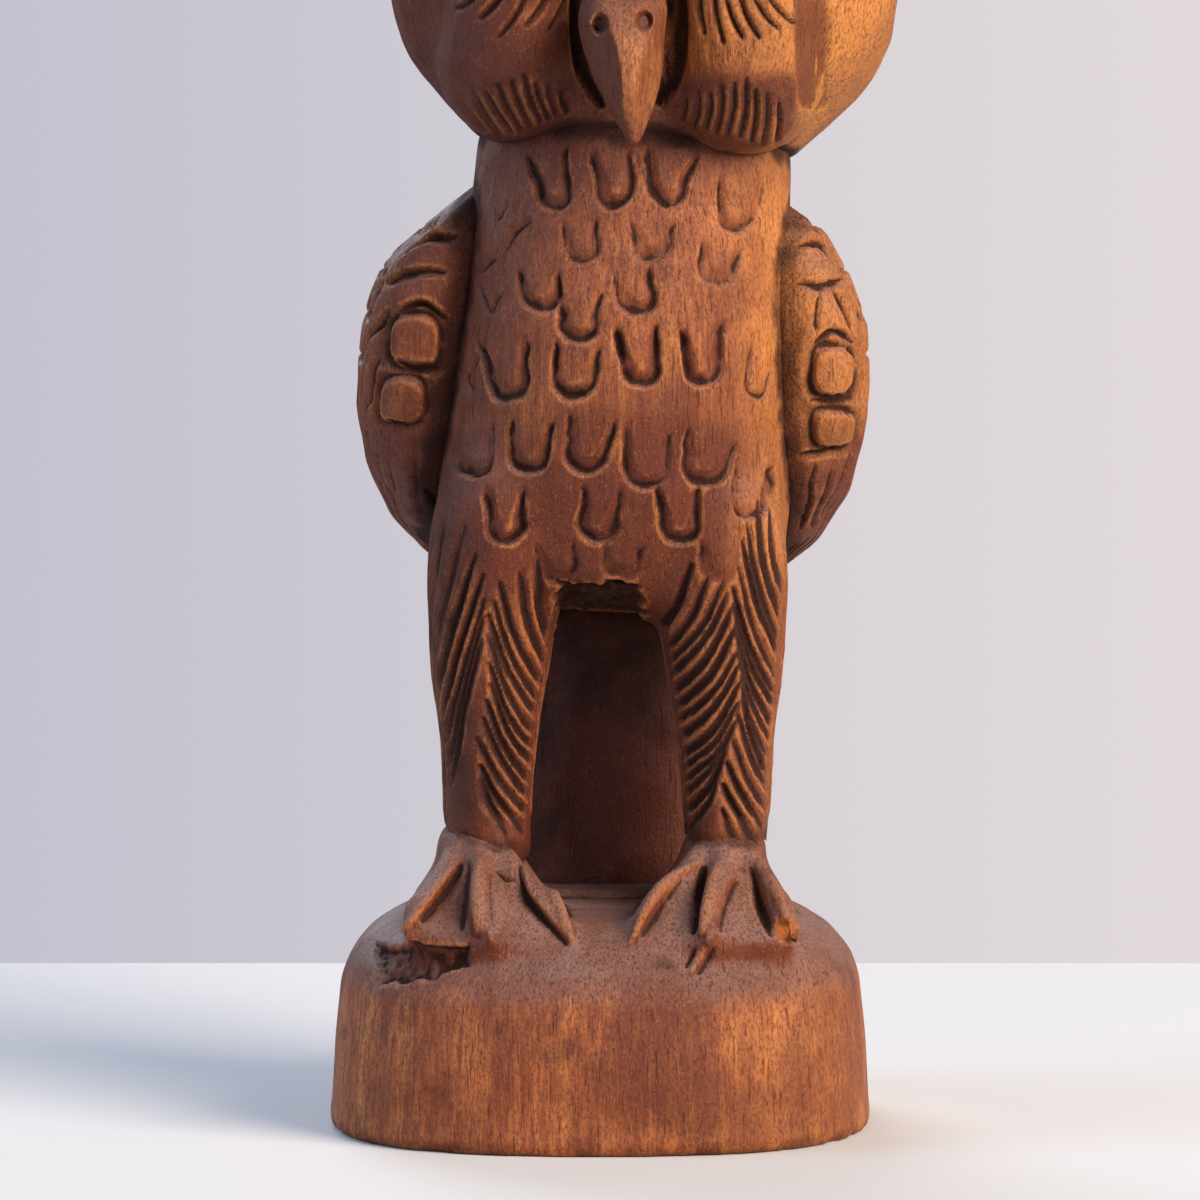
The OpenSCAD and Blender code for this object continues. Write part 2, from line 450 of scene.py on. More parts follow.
def part_off(piece: bpy.types.Object, name: str, point: Vector, normal: Vector) -> bpy.types.Object:
    """Saws a piece in two with a flat cut, and closes both halves.

    Args:
        piece: The piece, which keeps the half behind the cut.
        name: Name for the half in front.
        point: A point on the cut, in millimetres.
        normal: The direction in which the front half lies.

    Returns:
        The front half.
    """
    front = bpy.data.objects.new(name, piece.data.copy())
    bpy.context.scene.collection.objects.link(front)
    for half, clear in ((piece, "clear_outer"), (front, "clear_inner")):
        select_only(half)
        bpy.ops.object.mode_set(mode="EDIT")
        bpy.ops.mesh.select_all(action="SELECT")
        cut = {"plane_co": point * MM, "plane_no": normal, "use_fill": True, clear: True}
        bpy.ops.mesh.bisect(threshold=1e-7, **cut)
        bpy.ops.mesh.mark_sharp()
        bpy.ops.object.mode_set(mode="OBJECT")
    return front


def smooth_shaded(piece: bpy.types.Object) -> None:
    """Shades a piece as one smooth surface."""
    piece.data.polygons.foreach_set("use_smooth", [True] * len(piece.data.polygons))
    piece.data.update()


# ---- Cuts that several pieces share ----------------------------------------


@dataclass(frozen=True)
class GougeMark:
    """One U-shaped feather mark: a stop cut round a small island, open at the top."""

    across: float
    up: float
    width: float = 8.8
    height: float = 10.0
    tilt: float = 0.0
    depth: float = 1.3
    left: float = 1.0
    right: float = 1.0

    def box(self) -> tuple[float, float, float, float]:
        """The part of the sheet that the mark can touch: lowest and highest, across and up."""
        reach = self.height * 0.5 + 6.0
        return self.across - reach, self.across + reach, self.up - reach, self.up + reach

    def cut(self, across: Array, up: Array) -> Array:
        """Depth of the mark at points of the sheet that it is laid out on.

        Args:
            across: First coordinate of the points, in millimetres.
            up: Second coordinate, in millimetres.

        Returns:
            Depths in millimetres.
        """
        turn = math.radians(self.tilt)
        a = (across - self.across) * math.cos(turn) + (up - self.up) * math.sin(turn)
        b = (up - self.up) * math.cos(turn) - (across - self.across) * math.sin(turn)
        radius = self.width / 2
        foot = radius - self.height / 2
        reach = np.where(b < foot, np.hypot(a, b - foot), np.abs(a) * (1.0 - 0.018 * (b - foot)))
        off = reach - radius
        fade = 1.0 - ease(b, self.height * 0.22, self.height * 0.52)
        arm = np.where(a < 0, self.left, self.right)
        arm = arm + (1.0 - arm) * ease(b, foot, foot - radius)
        slim = 1.0 - 0.6 * ease(b, foot - radius, self.height * 0.5)
        inner = np.clip(1.0 + (off + 0.8 * slim) / (2.7 * slim), 0.0, 1.0) * (off <= 0)
        outer = np.clip(1.0 - off / (0.9 * slim), 0.0, 1.0) * (off > 0)
        return self.depth * (inner + outer) * arm * fade


@dataclass(frozen=True)
class Stroke:
    """One V cut along a bent line; a negative depth leaves a ridge instead."""

    path: tuple[Point, ...]
    width: float = 2.6
    depth: float = 1.1
    lean: float = 0.0
    fade: float = 0.4

    def line(self) -> Array:
        """The line as many short straight runs, rounded through its points."""
        ends = np.array(self.path)
        if len(ends) == 2:
            return ends
        padded = np.vstack((2 * ends[0] - ends[1], ends, 2 * ends[-1] - ends[-2]))
        points = []
        for k in range(1, len(padded) - 2):
            p, q, r, t = padded[k - 1 : k + 3]
            for share in (0.0, 0.25, 0.5, 0.75):
                bend = (2 * p - 5 * q + 4 * r - t) * share**2 + (3 * q - p - 3 * r + t) * share**3
                points.append(0.5 * (2 * q + (r - p) * share + bend))
        return np.array([*points, ends[-1]])

    def box(self) -> tuple[float, float, float, float]:
        """The part of the sheet that the cut can touch: lowest and highest, across and up."""
        ends = np.array(self.path)
        low, high = ends.min(0) - self.width, ends.max(0) + self.width
        return low[0], high[0], low[1], high[1]

    def cut(self, across: Array, up: Array) -> Array:
        """Depth of the cut at points of the sheet that it is laid out on.

        Args:
            across: First coordinate of the points, in millimetres.
            up: Second coordinate, in millimetres.

        Returns:
            Depths in millimetres.
        """
        line = self.line()
        runs = np.diff(line, axis=0)
        lengths = np.hypot(*runs.T)
        starts = np.concatenate(((0.0,), np.cumsum(lengths)))
        nearest = np.full(len(across), 1e9)
        along = np.zeros(len(across))
        hand = np.zeros(len(across))
        for start, run, length, before in zip(line, runs, lengths, starts):
            da, du = across - start[0], up - start[1]
            share = np.clip((da * run[0] + du * run[1]) / length**2, 0.0, 1.0)
            off = np.hypot(da - share * run[0], du - share * run[1])
            better = off < nearest
            nearest[better] = off[better]
            along[better] = before + share[better] * length
            hand[better] = np.sign(da * run[1] - du * run[0])[better]
        share = along / starts[-1]
        belly = np.clip(4.0 * share * (1.0 - share), 0.0, 1.0) ** self.fade
        wide = np.maximum(self.width * (0.35 + 0.65 * belly), 0.1) / 2
        wide = wide * (1.0 + self.lean * hand)
        return self.depth * belly * np.clip(1.0 - nearest / wide, 0.0, 1.0) ** 1.15


@dataclass(frozen=True)
class Boss:
    """A tile left standing almost flush, with a cut all round it."""

    across: float
    up: float
    wide: float
    tall: float
    height: float = 0.5
    rim: float = 1.45

    def box(self) -> tuple[float, float, float, float]:
        """The part of the sheet that the block can touch: lowest and highest, across and up."""
        a, b = self.wide + 3.0, self.tall + 3.0
        return self.across - a, self.across + a, self.up - b, self.up + b

    def cut(self, across: Array, up: Array) -> Array:
        """Depth round the block, and less than nothing on it."""
        a = np.abs(across - self.across) / self.wide
        b = np.abs(up - self.up) / self.tall
        reach = (a**3.2 + b**3.2) ** (1 / 3.2)
        dome = np.sqrt(np.clip(1.0 - reach**3, 0.0, 1.0))
        off = (reach - 1.16) * min(self.wide, self.tall)
        slope = np.where(off < 0, 1.1, 2.0)
        return self.rim * np.clip(1.0 - np.abs(off) / slope, 0.0, 1.0) - self.height * dome


def walk(line: Sequence[Point], share: float) -> Array:
    """The point at a share of a bent line's length."""
    points = np.array(line)
    lengths = np.concatenate(((0.0,), np.cumsum(np.hypot(*np.diff(points, axis=0).T))))
    return np.array([np.interp(share * lengths[-1], lengths, points[:, k]) for k in (0, 1)])


@dataclass(frozen=True)
class Comb:
    """A family of cuts combed from one guiding line to another."""

    heads: tuple[Point, ...]
    tips: tuple[Point, ...]
    count: int
    width: float = 2.8
    depth: float = 1.15
    bow: float = 0.0
    lean: float = 0.0

    def strokes(self) -> list[Stroke]:
        """The cuts, each a little different from the next."""
        made = []
        for k in range(self.count):
            share = k / (self.count - 1)
            luck = [scatter(np.array([[k, self.count, way]]), 41)[0] - 0.5 for way in range(4)]
            head = walk(self.heads, share) + (0.5 * luck[0], 2.4 * luck[1])
            tip = walk(self.tips, share) + (0.5 * luck[2], 2.0 * luck[3])
            run = tip - head
            middle = (head + tip) / 2 + self.bow * np.array((run[1], -run[0]))
            path = (tuple(head), tuple(middle), tuple(tip))
            width, depth = self.width * (1 + 0.3 * luck[1]), self.depth * (1 + 0.4 * luck[2])
            made.append(Stroke(path, width, depth, self.lean, 0.28))
        return made


@dataclass(frozen=True)
class FeatherRows:
    """Rows of gouge marks, each row half a pitch along from the last."""

    rows: int
    columns: range
    pitch: Point
    start: Point
    size: Point
    seeds: tuple[int, int]
    stray: float = 2.0
    tilt: float = 16.0
    depth: float = 1.3

    def marks(self) -> list[GougeMark]:
        """The marks, each a little different from the next."""
        made = []
        for row, column in product(range(self.rows), self.columns):
            luck = scatter(np.array([[column, row, self.seeds[0]]]), self.seeds[1])[0]
            across = (column + 0.5 * (row % 2)) * self.pitch[0] + self.start[0]
            up = self.start[1] - row * self.pitch[1] + self.stray * luck
            size = (self.size[0] + luck, self.size[1] + luck)
            made.append(GougeMark(across, up, *size, self.tilt * (luck - 0.5), self.depth))
        return made


def all_strokes(combs: Iterable[Comb]) -> list[Stroke]:
    """The cuts of several combs together."""
    return [stroke for cuts in combs for stroke in cuts.strokes()]


Mark = GougeMark | Stroke | Boss


def lay_out(marks: Iterable[Mark], across: Array, up: Array) -> Array:
    """Brings together marks that are laid out on one sheet.

    Args:
        marks: The marks.
        across: First coordinate of the points, in millimetres.
        up: Second coordinate, in millimetres.

    Returns:
        The deepest cut at each point, less the highest ridge.
    """
    depth = np.zeros(len(across))
    ridge = np.zeros(len(across))
    for mark in marks:
        left, right, low, high = mark.box()
        near = (across > left) & (across < right) & (up > low) & (up < high)
        here = mark.cut(across[near], up[near])
        depth[near] = np.maximum(depth[near], here)
        ridge[near] = np.minimum(ridge[near], here)
    return depth + ridge


def hand_finish(lump: Lump, facet: float, seed: int) -> None:
    """Leaves the unevenness of hand carving: wide scoops, slow swells and a little tear-out.

    Args:
        lump: The lump.
        facet: Depth of the scoops, in millimetres.
        seed: Picks the pattern.
    """
    depth = facet * scoops(lump.co, 13.0, seed)
    depth += 0.30 * wobble(lump.co, 21.0, seed + 5)
    depth += 0.16 * scoops(lump.co * (1.0, 1.0, 0.4), 4.6, seed + 7)
    depth += 0.07 * wobble(lump.co * (1.0, 1.0, 0.45), 2.6, seed + 6)
    lump.cut(depth)


# ---- Finishes ----------------------------------------------------------------


@dataclass
class Wiring:
    """Short names for adding and joining the nodes of one shader tree."""

    tree: bpy.types.NodeTree

    def node(self, kind: str, **settings: object) -> bpy.types.Node:
        """Adds a node of this kind, with its settings."""
        made = self.tree.nodes.new(f"ShaderNode{kind}")
        for key, value in settings.items():
            setattr(made, key, value)
        return made

    def feed(self, source: object, target: bpy.types.NodeSocket) -> None:
        """Joins a socket to an input, or sets the input to a plain value."""
        if isinstance(source, bpy.types.NodeSocket):
            self.tree.links.new(source, target)
        else:
            target.default_value = source

    def math(self, kind: str, *inputs: object, clamp: bool = False) -> bpy.types.NodeSocket:
        """Adds a Math node and returns its result."""
        made = self.node("Math", operation=kind, use_clamp=clamp)
        for value, target in zip(inputs, made.inputs):
            self.feed(value, target)
        return made.outputs[0]

    def times(self, first: object, second: object) -> bpy.types.NodeSocket:
        """Multiplies two values."""
        return self.math("MULTIPLY", first, second)

    def fill(self, made: bpy.types.Node, **values: object) -> bpy.types.Node:
        """Feeds a node's inputs by name, with an underscore for each space."""
        for name, value in values.items():
            self.feed(value, made.inputs[name.replace("_", " ")])
        return made

    def span(
        self, value: object, low: float, high: float, start: float = 0.0, end: float = 1.0
    ) -> bpy.types.NodeSocket:
        """Maps low..high smoothly to start..end."""
        made = self.node("MapRange", interpolation_type="SMOOTHSTEP")
        for source, target in zip((value, low, high, start, end), made.inputs):
            self.feed(source, target)
        return made.outputs["Result"]

    def noise(
        self, vector: object, scale: float, detail: float = 3.0, rough: float = 0.55
    ) -> bpy.types.NodeSocket:
        """Adds plain noise and returns its value."""
        made = self.fill(self.node("TexNoise"), Vector=vector, Scale=scale, Detail=detail, Roughness=rough)
        return made.outputs["Fac"]

    def stretch(self, vector: object, scale: tuple[float, float, float]) -> bpy.types.NodeSocket:
        """Scales coordinates differently along each axis."""
        return self.fill(self.node("Mapping"), Vector=vector, Scale=scale).outputs["Vector"]

    def blend(self, share: object, first: object, second: object) -> bpy.types.NodeSocket:
        """Mixes two colours."""
        made = self.node("Mix", data_type="RGBA")
        self.feed(share, made.inputs["Factor"])
        for value, target in ((first, made.inputs["A"]), (second, made.inputs["B"])):
            self.feed((*value, 1.0) if isinstance(value, tuple) and len(value) == 3 else value, target)
        return made.outputs["Result"]

    def trace(self, trace: Trace) -> bpy.types.NodeSocket:
        """Reads a trace that carving left on the piece."""
        return self.node("Attribute", attribute_name=trace.value).outputs["Fac"]


Sockets = bpy.types.bpy_prop_collection


def start_group(
    name: str, numbers: dict[str, float], results: Sequence[str]
) -> tuple[Wiring, Sockets, Sockets]:
    """Starts a shader group that takes a vector and some numbers.

    Args:
        name: Its name.
        numbers: Its number inputs, with the value each has when nothing is joined to it.
        results: Its number outputs.

    Returns:
        The group's wiring, what comes into it and what goes out of it.
    """
    tree = bpy.data.node_groups.new(name, "ShaderNodeTree")
    tree.interface.new_socket(name="Vector", in_out="INPUT", socket_type="NodeSocketVector")
    for number, value in numbers.items():
        socket = tree.interface.new_socket(name=number, in_out="INPUT", socket_type="NodeSocketFloat")
        socket.default_value = value
    for result in results:
        tree.interface.new_socket(name=result, in_out="OUTPUT", socket_type="NodeSocketFloat")
    return Wiring(tree), tree.nodes.new("NodeGroupInput").outputs, tree.nodes.new("NodeGroupOutput").inputs


def grain_group() -> bpy.types.NodeTree:
    """Builds the wood's figure once: growth bands, fine streaks, pores and cloudy stain.

    Returns:
        A group that takes object coordinates in metres and gives five masks and a height.
    """
    results = ("Bands", "Streaks", "Pores", "Clouds", "Sapwood", "Height")
    wire, source, target = start_group("Wood grain", {"Banding": 1.0}, results)
    vector = source["Vector"]

    warp = wire.fill(wire.node("TexNoise"), Vector=wire.stretch(vector, (9.0, 9.0, 3.0)), Scale=1.0)
    bent = wire.node("VectorMath", operation="MULTIPLY_ADD")
    for value, socket in zip((warp.outputs["Color"], (0.035, 0.035, 0.05), vector), bent.inputs):
        wire.feed(value, socket)
    trunk = wire.stretch(bent.outputs[0], (1.0, 0.62, 0.10))
    bands = wire.node("TexWave", wave_type="RINGS", rings_direction="Z")
    wire.fill(bands, Vector=trunk, Scale=46.0, Distortion=3.0, Detail=3.0, Detail_Scale=1.6)
    wire.feed(wire.times(bands.outputs["Fac"], source["Banding"]), target["Bands"])

    streaks = wire.noise(wire.stretch(vector, (760.0, 760.0, 34.0)), 1.0, 5.0, 0.72)
    wire.feed(wire.span(streaks, 0.38, 0.62), target["Streaks"])
    dashes = wire.noise(wire.stretch(vector, (1500.0, 1500.0, 120.0)), 1.0, 2.0, 0.5)
    pores = wire.span(dashes, 0.60, 0.72)
    wire.feed(pores, target["Pores"])
    clouds = wire.noise(wire.stretch(vector, (52.0, 52.0, 30.0)), 1.0, 6.0, 0.68)
    wire.feed(wire.span(clouds, 0.38, 0.61), target["Clouds"])
    side = wire.node("SeparateXYZ")
    wire.feed(bent.outputs[0], side.inputs[0])
    wire.feed(wire.span(side.outputs["X"], 0.036, 0.060), target["Sapwood"])
    height = wire.math("SUBTRACT", wire.times(streaks, 0.6), wire.times(pores, 0.5))
    wire.feed(height, target["Height"])
    return wire.tree


def wear_group() -> bpy.types.NodeTree:
    """Builds the wear once: where stain gathers and where shade is painted, where hands have rubbed, and
    scuffed tooth marks.

    Returns:
        A group that takes the traces and gives four masks and a height.
    """
    numbers = {"Hollow": 0.0, "Rub": 0.0, "Rough": 0.0}
    results = ("Stain and shade", "Rubbed", "Speckle", "Flecks", "Height")
    wire, source, target = start_group("Stain and wear", numbers, results)
    vector = source["Vector"]

    speckle = wire.noise(vector, 1400.0, 4.0, 0.7)
    patches = wire.noise(vector, 130.0, 3.0, 0.6)
    # Stain and painted shade: the hollow trace, which holds both, broken up by patches and speckle.
    stain_shade_mask = wire.math("MULTIPLY_ADD", wire.math("SUBTRACT", patches, 0.5), 0.9, source["Hollow"])
    stain_shade_mask = wire.math("MULTIPLY_ADD", wire.math("SUBTRACT", speckle, 0.5), 0.5, stain_shade_mask)
    wire.feed(wire.span(stain_shade_mask, 0.12, 0.85), target["Stain and shade"])
    rubbed = wire.math("MULTIPLY_ADD", wire.math("SUBTRACT", patches, 0.55), -1.0, source["Rub"])
    rubbed = wire.math("MULTIPLY_ADD", wire.math("SUBTRACT", speckle, 0.5), -0.6, rubbed)
    wire.feed(wire.span(rubbed, 0.1, 0.95), target["Rubbed"])
    dots = wire.noise(wire.stretch(vector, (1700.0, 1700.0, 900.0)), 1.0, 4.0, 0.7)
    wire.feed(wire.span(dots, 0.46, 0.62), target["Speckle"])
    wire.feed(wire.span(wire.noise(vector, 1900.0, 3.0, 0.6), 0.58, 0.70), target["Flecks"])
    tooth = wire.times(source["Rough"], wire.noise(vector, 800.0, 4.0, 0.75))
    fine = wire.math("MULTIPLY_ADD", speckle, 0.35, wire.times(dots, -0.45))
    wire.feed(wire.math("ADD", wire.times(tooth, 2.2), fine), target["Height"])
    return wire.tree


@dataclass(frozen=True)
class WoodFinish:
    """Stained wood, rubbed back on its high places, with paler sapwood on one side, a dusty film and a
    painted sheen on upward faces, and painted shade where the traces put it.
    """

    name: str
    pale: Colour = (0.50, 0.168, 0.044)
    warm: Colour = (0.250, 0.060, 0.019)
    deep: Colour = (0.095, 0.018, 0.009)
    pitch: Colour = (0.024, 0.006, 0.004)
    gold: Colour = (0.50, 0.180, 0.048)
    sap: Colour = (0.68, 0.275, 0.072)
    # Grey-violet tint: a dusty film, and a painted sheen of the cool light from above, on upward faces.
    dust_sheen_tint: Colour = (0.25, 0.155, 0.142)
    fresh: Colour = (0.50, 0.15, 0.04)
    banding: float = 1.0
    sapwood: float = 0.85
    # Strength of the near-black from stain and painted shade.
    stain_shade_strength: float = 0.9
    rub: float = 0.55
    mottle: float = 0.68
    speckle: float = 0.6
    flecks: float = 0.35
    dust_sheen_amount: float = 0.5
    gloss: float = 0.43

    def material(self, grain: bpy.types.NodeTree, wear: bpy.types.NodeTree) -> bpy.types.Material:
        """Builds the material.

        Args:
            grain: The shared wood grain group.
            wear: The shared stain, shade and wear group.

        Returns:
            The material, reading object coordinates and the piece's traces.
        """
        made = bpy.data.materials.new(self.name)
        made.use_nodes = True
        tree = made.node_tree
        tree.nodes.clear()
        wire = Wiring(tree)
        place = wire.node("TexCoord").outputs["Object"]
        figure = wire.node("Group", node_tree=grain)
        figure = wire.fill(figure, Vector=place, Banding=self.banding).outputs
        read = {trace.value.title(): wire.trace(trace) for trace in (Trace.HOLLOW, Trace.RUB, Trace.ROUGH)}
        age = wire.fill(wire.node("Group", node_tree=wear), Vector=place, **read).outputs
        up = wire.node("SeparateXYZ")
        wire.feed(wire.node("NewGeometry").outputs["Normal"], up.inputs[0])

        sap = wire.times(figure["Sapwood"], self.sapwood)
        sap_side = wire.blend(wire.times(figure["Streaks"], 0.6), self.sap, self.pale)
        # Upward faces: a dusty film, and a painted sheen of the cool light from above.
        dust_sheen = wire.times(wire.span(up.outputs["Z"], -0.05, 0.85), self.dust_sheen_amount)
        layers = (
            (figure["Bands"], 0.4, self.warm),
            (sap, 1.0, sap_side),
            (figure["Clouds"], wire.span(sap, 0.0, 1.0, self.mottle, 0.3), self.deep),
            # Deep colour from real stain and from painted shade, as the stain trace gives them.
            (wire.trace(Trace.STAIN), 0.92, self.deep),
            (age["Rubbed"], self.rub, self.gold),
            (dust_sheen, wire.span(figure["Clouds"], 0.0, 1.0, 1.0, 0.6), self.dust_sheen_tint),
            (figure["Pores"], 0.5, self.deep),
            (age["Speckle"], self.speckle, self.deep),
            (age["Flecks"], self.flecks, self.gold),
            # Near-black from stain in cuts and from painted shade in hollows, between parts and on the side
            # away from the key lamp.
            (age["Stain and shade"], self.stain_shade_strength, self.pitch),
            (wire.trace(Trace.BARE), 1.0, self.fresh),
        )
        colour = wire.blend(figure["Streaks"], self.warm, self.pale)
        for mask, strength, tint in layers:
            colour = wire.blend(wire.times(mask, strength), colour, tint)

        dull = self.gloss
        for mask, rise in ((age["Stain and shade"], 0.22), (wire.trace(Trace.ROUGH), 0.2), (age["Speckle"], 0.08)):
            dull = wire.math("MULTIPLY_ADD", mask, rise, dull, clamp=True)
        height = wire.math("ADD", figure["Height"], age["Height"])
        bump = wire.fill(wire.node("Bump"), Strength=0.85, Distance=0.0006, Height=height)
        shader = wire.fill(wire.node("BsdfPrincipled"), Base_Color=colour, Roughness=dull)
        wire.fill(shader, Normal=bump.outputs["Normal"], Specular_IOR_Level=0.26)
        wire.feed(shader.outputs["BSDF"], wire.node("OutputMaterial").inputs["Surface"])
        return made


@dataclass
class Bench:
    """What every piece of the owl is finished with."""

    grain: bpy.types.NodeTree = field(default_factory=grain_group)
    wear: bpy.types.NodeTree = field(default_factory=wear_group)
    finishes: dict[str, bpy.types.Material] = field(default_factory=dict)

    def hand_over(
        self, piece: bpy.types.Object, finish: WoodFinish, nodes: Sequence[str]
    ) -> None:
        """Dresses a finished piece and puts it in place of its solids.

        Args:
            piece: The piece.
            finish: Its wood.
            nodes: The solids that it stands for.
        """
        if finish.name not in self.finishes:
            self.finishes[finish.name] = finish.material(self.grain, self.wear)
        piece.data.materials.clear()
        piece.data.materials.append(self.finishes[finish.name])
        smooth_shaded(piece)
        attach(piece, "root")
        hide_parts(*nodes)
        piece.data.calc_loop_triangles()
        count = len(piece.data.loop_triangles)
        LOG.info("%s: %d triangles, for %s", piece.name, count, ", ".join(nodes))


BODY_WOOD = WoodFinish("Body wood")
HEAD_WOOD = WoodFinish("Head wood", pale=(0.52, 0.200, 0.052), warm=(0.30, 0.092, 0.027), dust_sheen_amount=0.25)
PLINTH_WOOD = WoodFinish(
    "Plinth wood",
    pale=(0.56, 0.190, 0.047),
    warm=(0.25, 0.057, 0.018),
    banding=1.4,
    mottle=0.75,
    sapwood=0.35,
    dust_sheen_amount=0.85,
    gloss=0.52,
)
BEAK_WOOD = WoodFinish(
    "Beak wood",
    pale=(0.44, 0.175, 0.055),
    warm=(0.28, 0.096, 0.032),
    gloss=0.45,
    sapwood=0.0,
)
SHADED_WOOD = WoodFinish(
    "Shaded wood",
    pale=(0.23, 0.048, 0.017),
    warm=(0.12, 0.024, 0.010),
    rub=0.4,
    sapwood=0.0,
)


# ---- The owl's masses ----------------------------------------------------------


def axis_of(points: Array, step: float = 3.0) -> Callable[[Array], Array]:
    """Finds the upright middle line of a mass.

    Args:
        points: Its points, in millimetres.
        step: Height of the slices that it is measured in.

    Returns:
        A function from heights to the middle x and y there.
    """
    level = np.round(points[:, 2] / step).astype(int)
    levels = np.unique(level)
    middles = []
    for height in levels:
        here = points[level == height]
        middles.append([(here[:, k].min() + here[:, k].max()) / 2 for k in (0, 1)])
    middles = np.array(middles)

    def middle(heights: Array) -> Array:
        """Middle x and y at each height."""
        return np.stack([np.interp(heights, levels * step, middles[:, k]) for k in (0, 1)], 1)

    return middle


@dataclass
class Trunk:
    """Breast, back and legs, carved as one lump so that the thighs flow into the belly."""

    voxel: float = 1.0
    leg_radius: float = 13.0
    marks: tuple[tuple[float, tuple[float, ...], float, float], ...] = (
        (205.0, (-10.7, 2.8, 15.0), 12.0, 1.6),
        (199.5, (30.5,), 11.5, 1.3),
        (191.3, (-4.2, 11.6), 7.5, 1.0),
        (186.5, (25.8,), 9.0, 1.0),
        (180.5, (-13.0, 7.8), 8.0, 1.3),
        (175.0, (-4.6,), 10.5, 1.7),
        (163.5, (-20.6, -5.2), 12.0, 2.0),
        (167.0, (8.5, 22.4), 12.0, 2.0),
        (147.3, (-28.3, -15.4, -2.4), 12.5, 1.7),
        (144.0, (10.4, 23.5), 12.0, 1.6),
        (137.5, (33.4,), 12.0, 1.4),
        (132.0, (-20.7, -0.2, 17.4), 12.0, 1.9),
        (121.5, (-9.6, 4.5, 25.7), 7.5, 0.9),
    )
    slashes: tuple[Stroke, ...] = (
        Stroke(((-19.5, 199.0), (-22.5, 194.5)), 2.4, 0.9),
        Stroke(((-15.0, 195.0), (-18.5, 192.5), (-21.5, 188.5)), 2.4, 1.3, 0.3),
        Stroke(((-23.0, 187.0), (-27.0, 183.0)), 2.2, 1.2),
        Stroke(((-26.5, 181.0), (-24.0, 175.5), (-21.0, 180.0)), 2.0, 1.1),
        Stroke(((-27.0, 166.0), (-29.0, 161.0), (-28.5, 157.5)), 2.6, 1.3),
        Stroke(((34.0, 170.0), (32.0, 160.0), (35.0, 157.5), (37.5, 163.0)), 2.4, 1.2),
        Stroke(((24.5, 203.0), (25.0, 198.0)), 1.6, 0.6),
    )
    combs: tuple[Comb, ...] = (
        Comb(
            ((-38.5, 133.0), (-29.0, 128.5), (-25.0, 121.0), (-26.0, 104.0)),
            ((-39.5, 106.0), (-37.0, 94.0), (-34.0, 82.0), (-33.0, 72.0)),
            8, 2.5, 1.4, 0.02,
        ),
        Comb(
            ((-13.5, 121.0), (-22.0, 117.5), (-24.5, 110.0), (-24.0, 94.5), (-27.0, 83.0), (-26.0, 74.0)),
            ((-8.5, 99.0), (-11.0, 90.5), (-12.0, 80.0), (-13.5, 64.0), (-20.0, 62.0)),
            13, 3.2, 1.6, 0.07,
        ),
        Comb(
            ((20.0, 121.0), (27.5, 118.5), (31.0, 97.0), (30.5, 89.0), (26.0, 76.0)),
            ((8.5, 102.5), (12.0, 93.0), (15.0, 82.5), (17.0, 72.0), (18.5, 63.5)),
            14, 3.1, 1.6, -0.10,
        ),
        Comb(
            ((38.0, 139.0), (33.0, 133.0), (28.5, 116.0), (31.0, 92.0), (27.0, 77.5), (26.5, 68.5)),
            ((41.0, 110.5), (39.5, 95.5), (38.5, 82.0), (38.0, 67.0), (35.0, 59.5), (31.0, 59.5)),
            16, 3.0, 1.6, 0.05,
        ),
    )
    back_rows: FeatherRows = FeatherRows(
        7, range(-3, 4), pitch=(11.5, 12.5), start=(5.0, 202.0), size=(8.2, 10.0), seeds=(9, 21), tilt=14.0
    )

    def breast_cuts(self) -> list[Mark]:
        """The feather marks on the breast, each a little different."""
        cuts: list[Mark] = list(self.slashes)
        for height, places, tall, deep in self.marks:
            for x in places:
                luck = [scatter(np.array([[x * 10, height, way]]), 11)[0] for way in range(4)]
                size = (7.4 + 1.8 * luck[0], tall + 2.5 * luck[1])
                arms = (1.25 - 0.7 * luck[2], 0.4 + 0.8 * luck[3])
                tilt = 24.0 * (luck[1] - 0.5) - 0.15 * x
                cuts.append(GougeMark(x, height, *size, tilt, deep * (0.85 + 0.3 * luck[2]), *arms))
        return cuts

    def build(self, bench: Bench) -> None:
        """Carves the lump, then saws it into breast, back and legs."""
        nodes = ("torso", "left_leg", "right_leg")
        sunk = {"left_foot": 0.4, "right_foot": 0.4}
        lump = rough_out("breast", nodes, self.voxel, sunk)
        height = lump.co[:, 2]
        hips = ease(height, 98.0, 106.0) * ease(height, 158.0, 146.0)
        lump.soften(26, hips)
        refine(lump)
        hand_finish(lump, 0.45, 31)
        self.break_arch(lump)
        self.cut_front(lump)
        self.cut_sides(lump)
        lump.soften(12, ease(lump.co[:, 2], 69.0, 65.5))
        lump.co[:, 2] -= 2.0 * ease(lump.co[:, 2], 68.0, 63.0)
        lump.settle()
        lump.read_relief()
        self.stain(lump)
        lump.keep_traces()
        self.saw(lump.piece, bench)

    def break_arch(self, lump: Lump) -> None:
        """Breaks away the rough end grain over the arch between the legs."""
        across, up = sighted(lump.co)
        edge = 1.5 * wobble(lump.co, 3.0, 53) + 0.7 * wobble(lump.co, 1.4, 56)
        inside = ease(np.abs(across + edge), 10.5, 7.0) * ease(up + 0.6 * edge, 117.4, 115.6)
        inside *= ease(up, 104.0, 106.0) * (lump.co[:, 1] < 12.0)
        tears = 1.1 * wobble(lump.co * (0.7, 1, 1.4), 2.2, 54) + 0.9 * wobble(lump.co, 1.3, 55)
        lump.mark(Trace.ROUGH, inside)
        dark = 0.78 + 0.2 * ease(tears, 0.0, 1.0) + 0.3 * ease(up, 112.5, 109.5)
        lump.mark(Trace.HOLLOW, inside * dark)
        lump.cut(inside * (2.4 + tears))

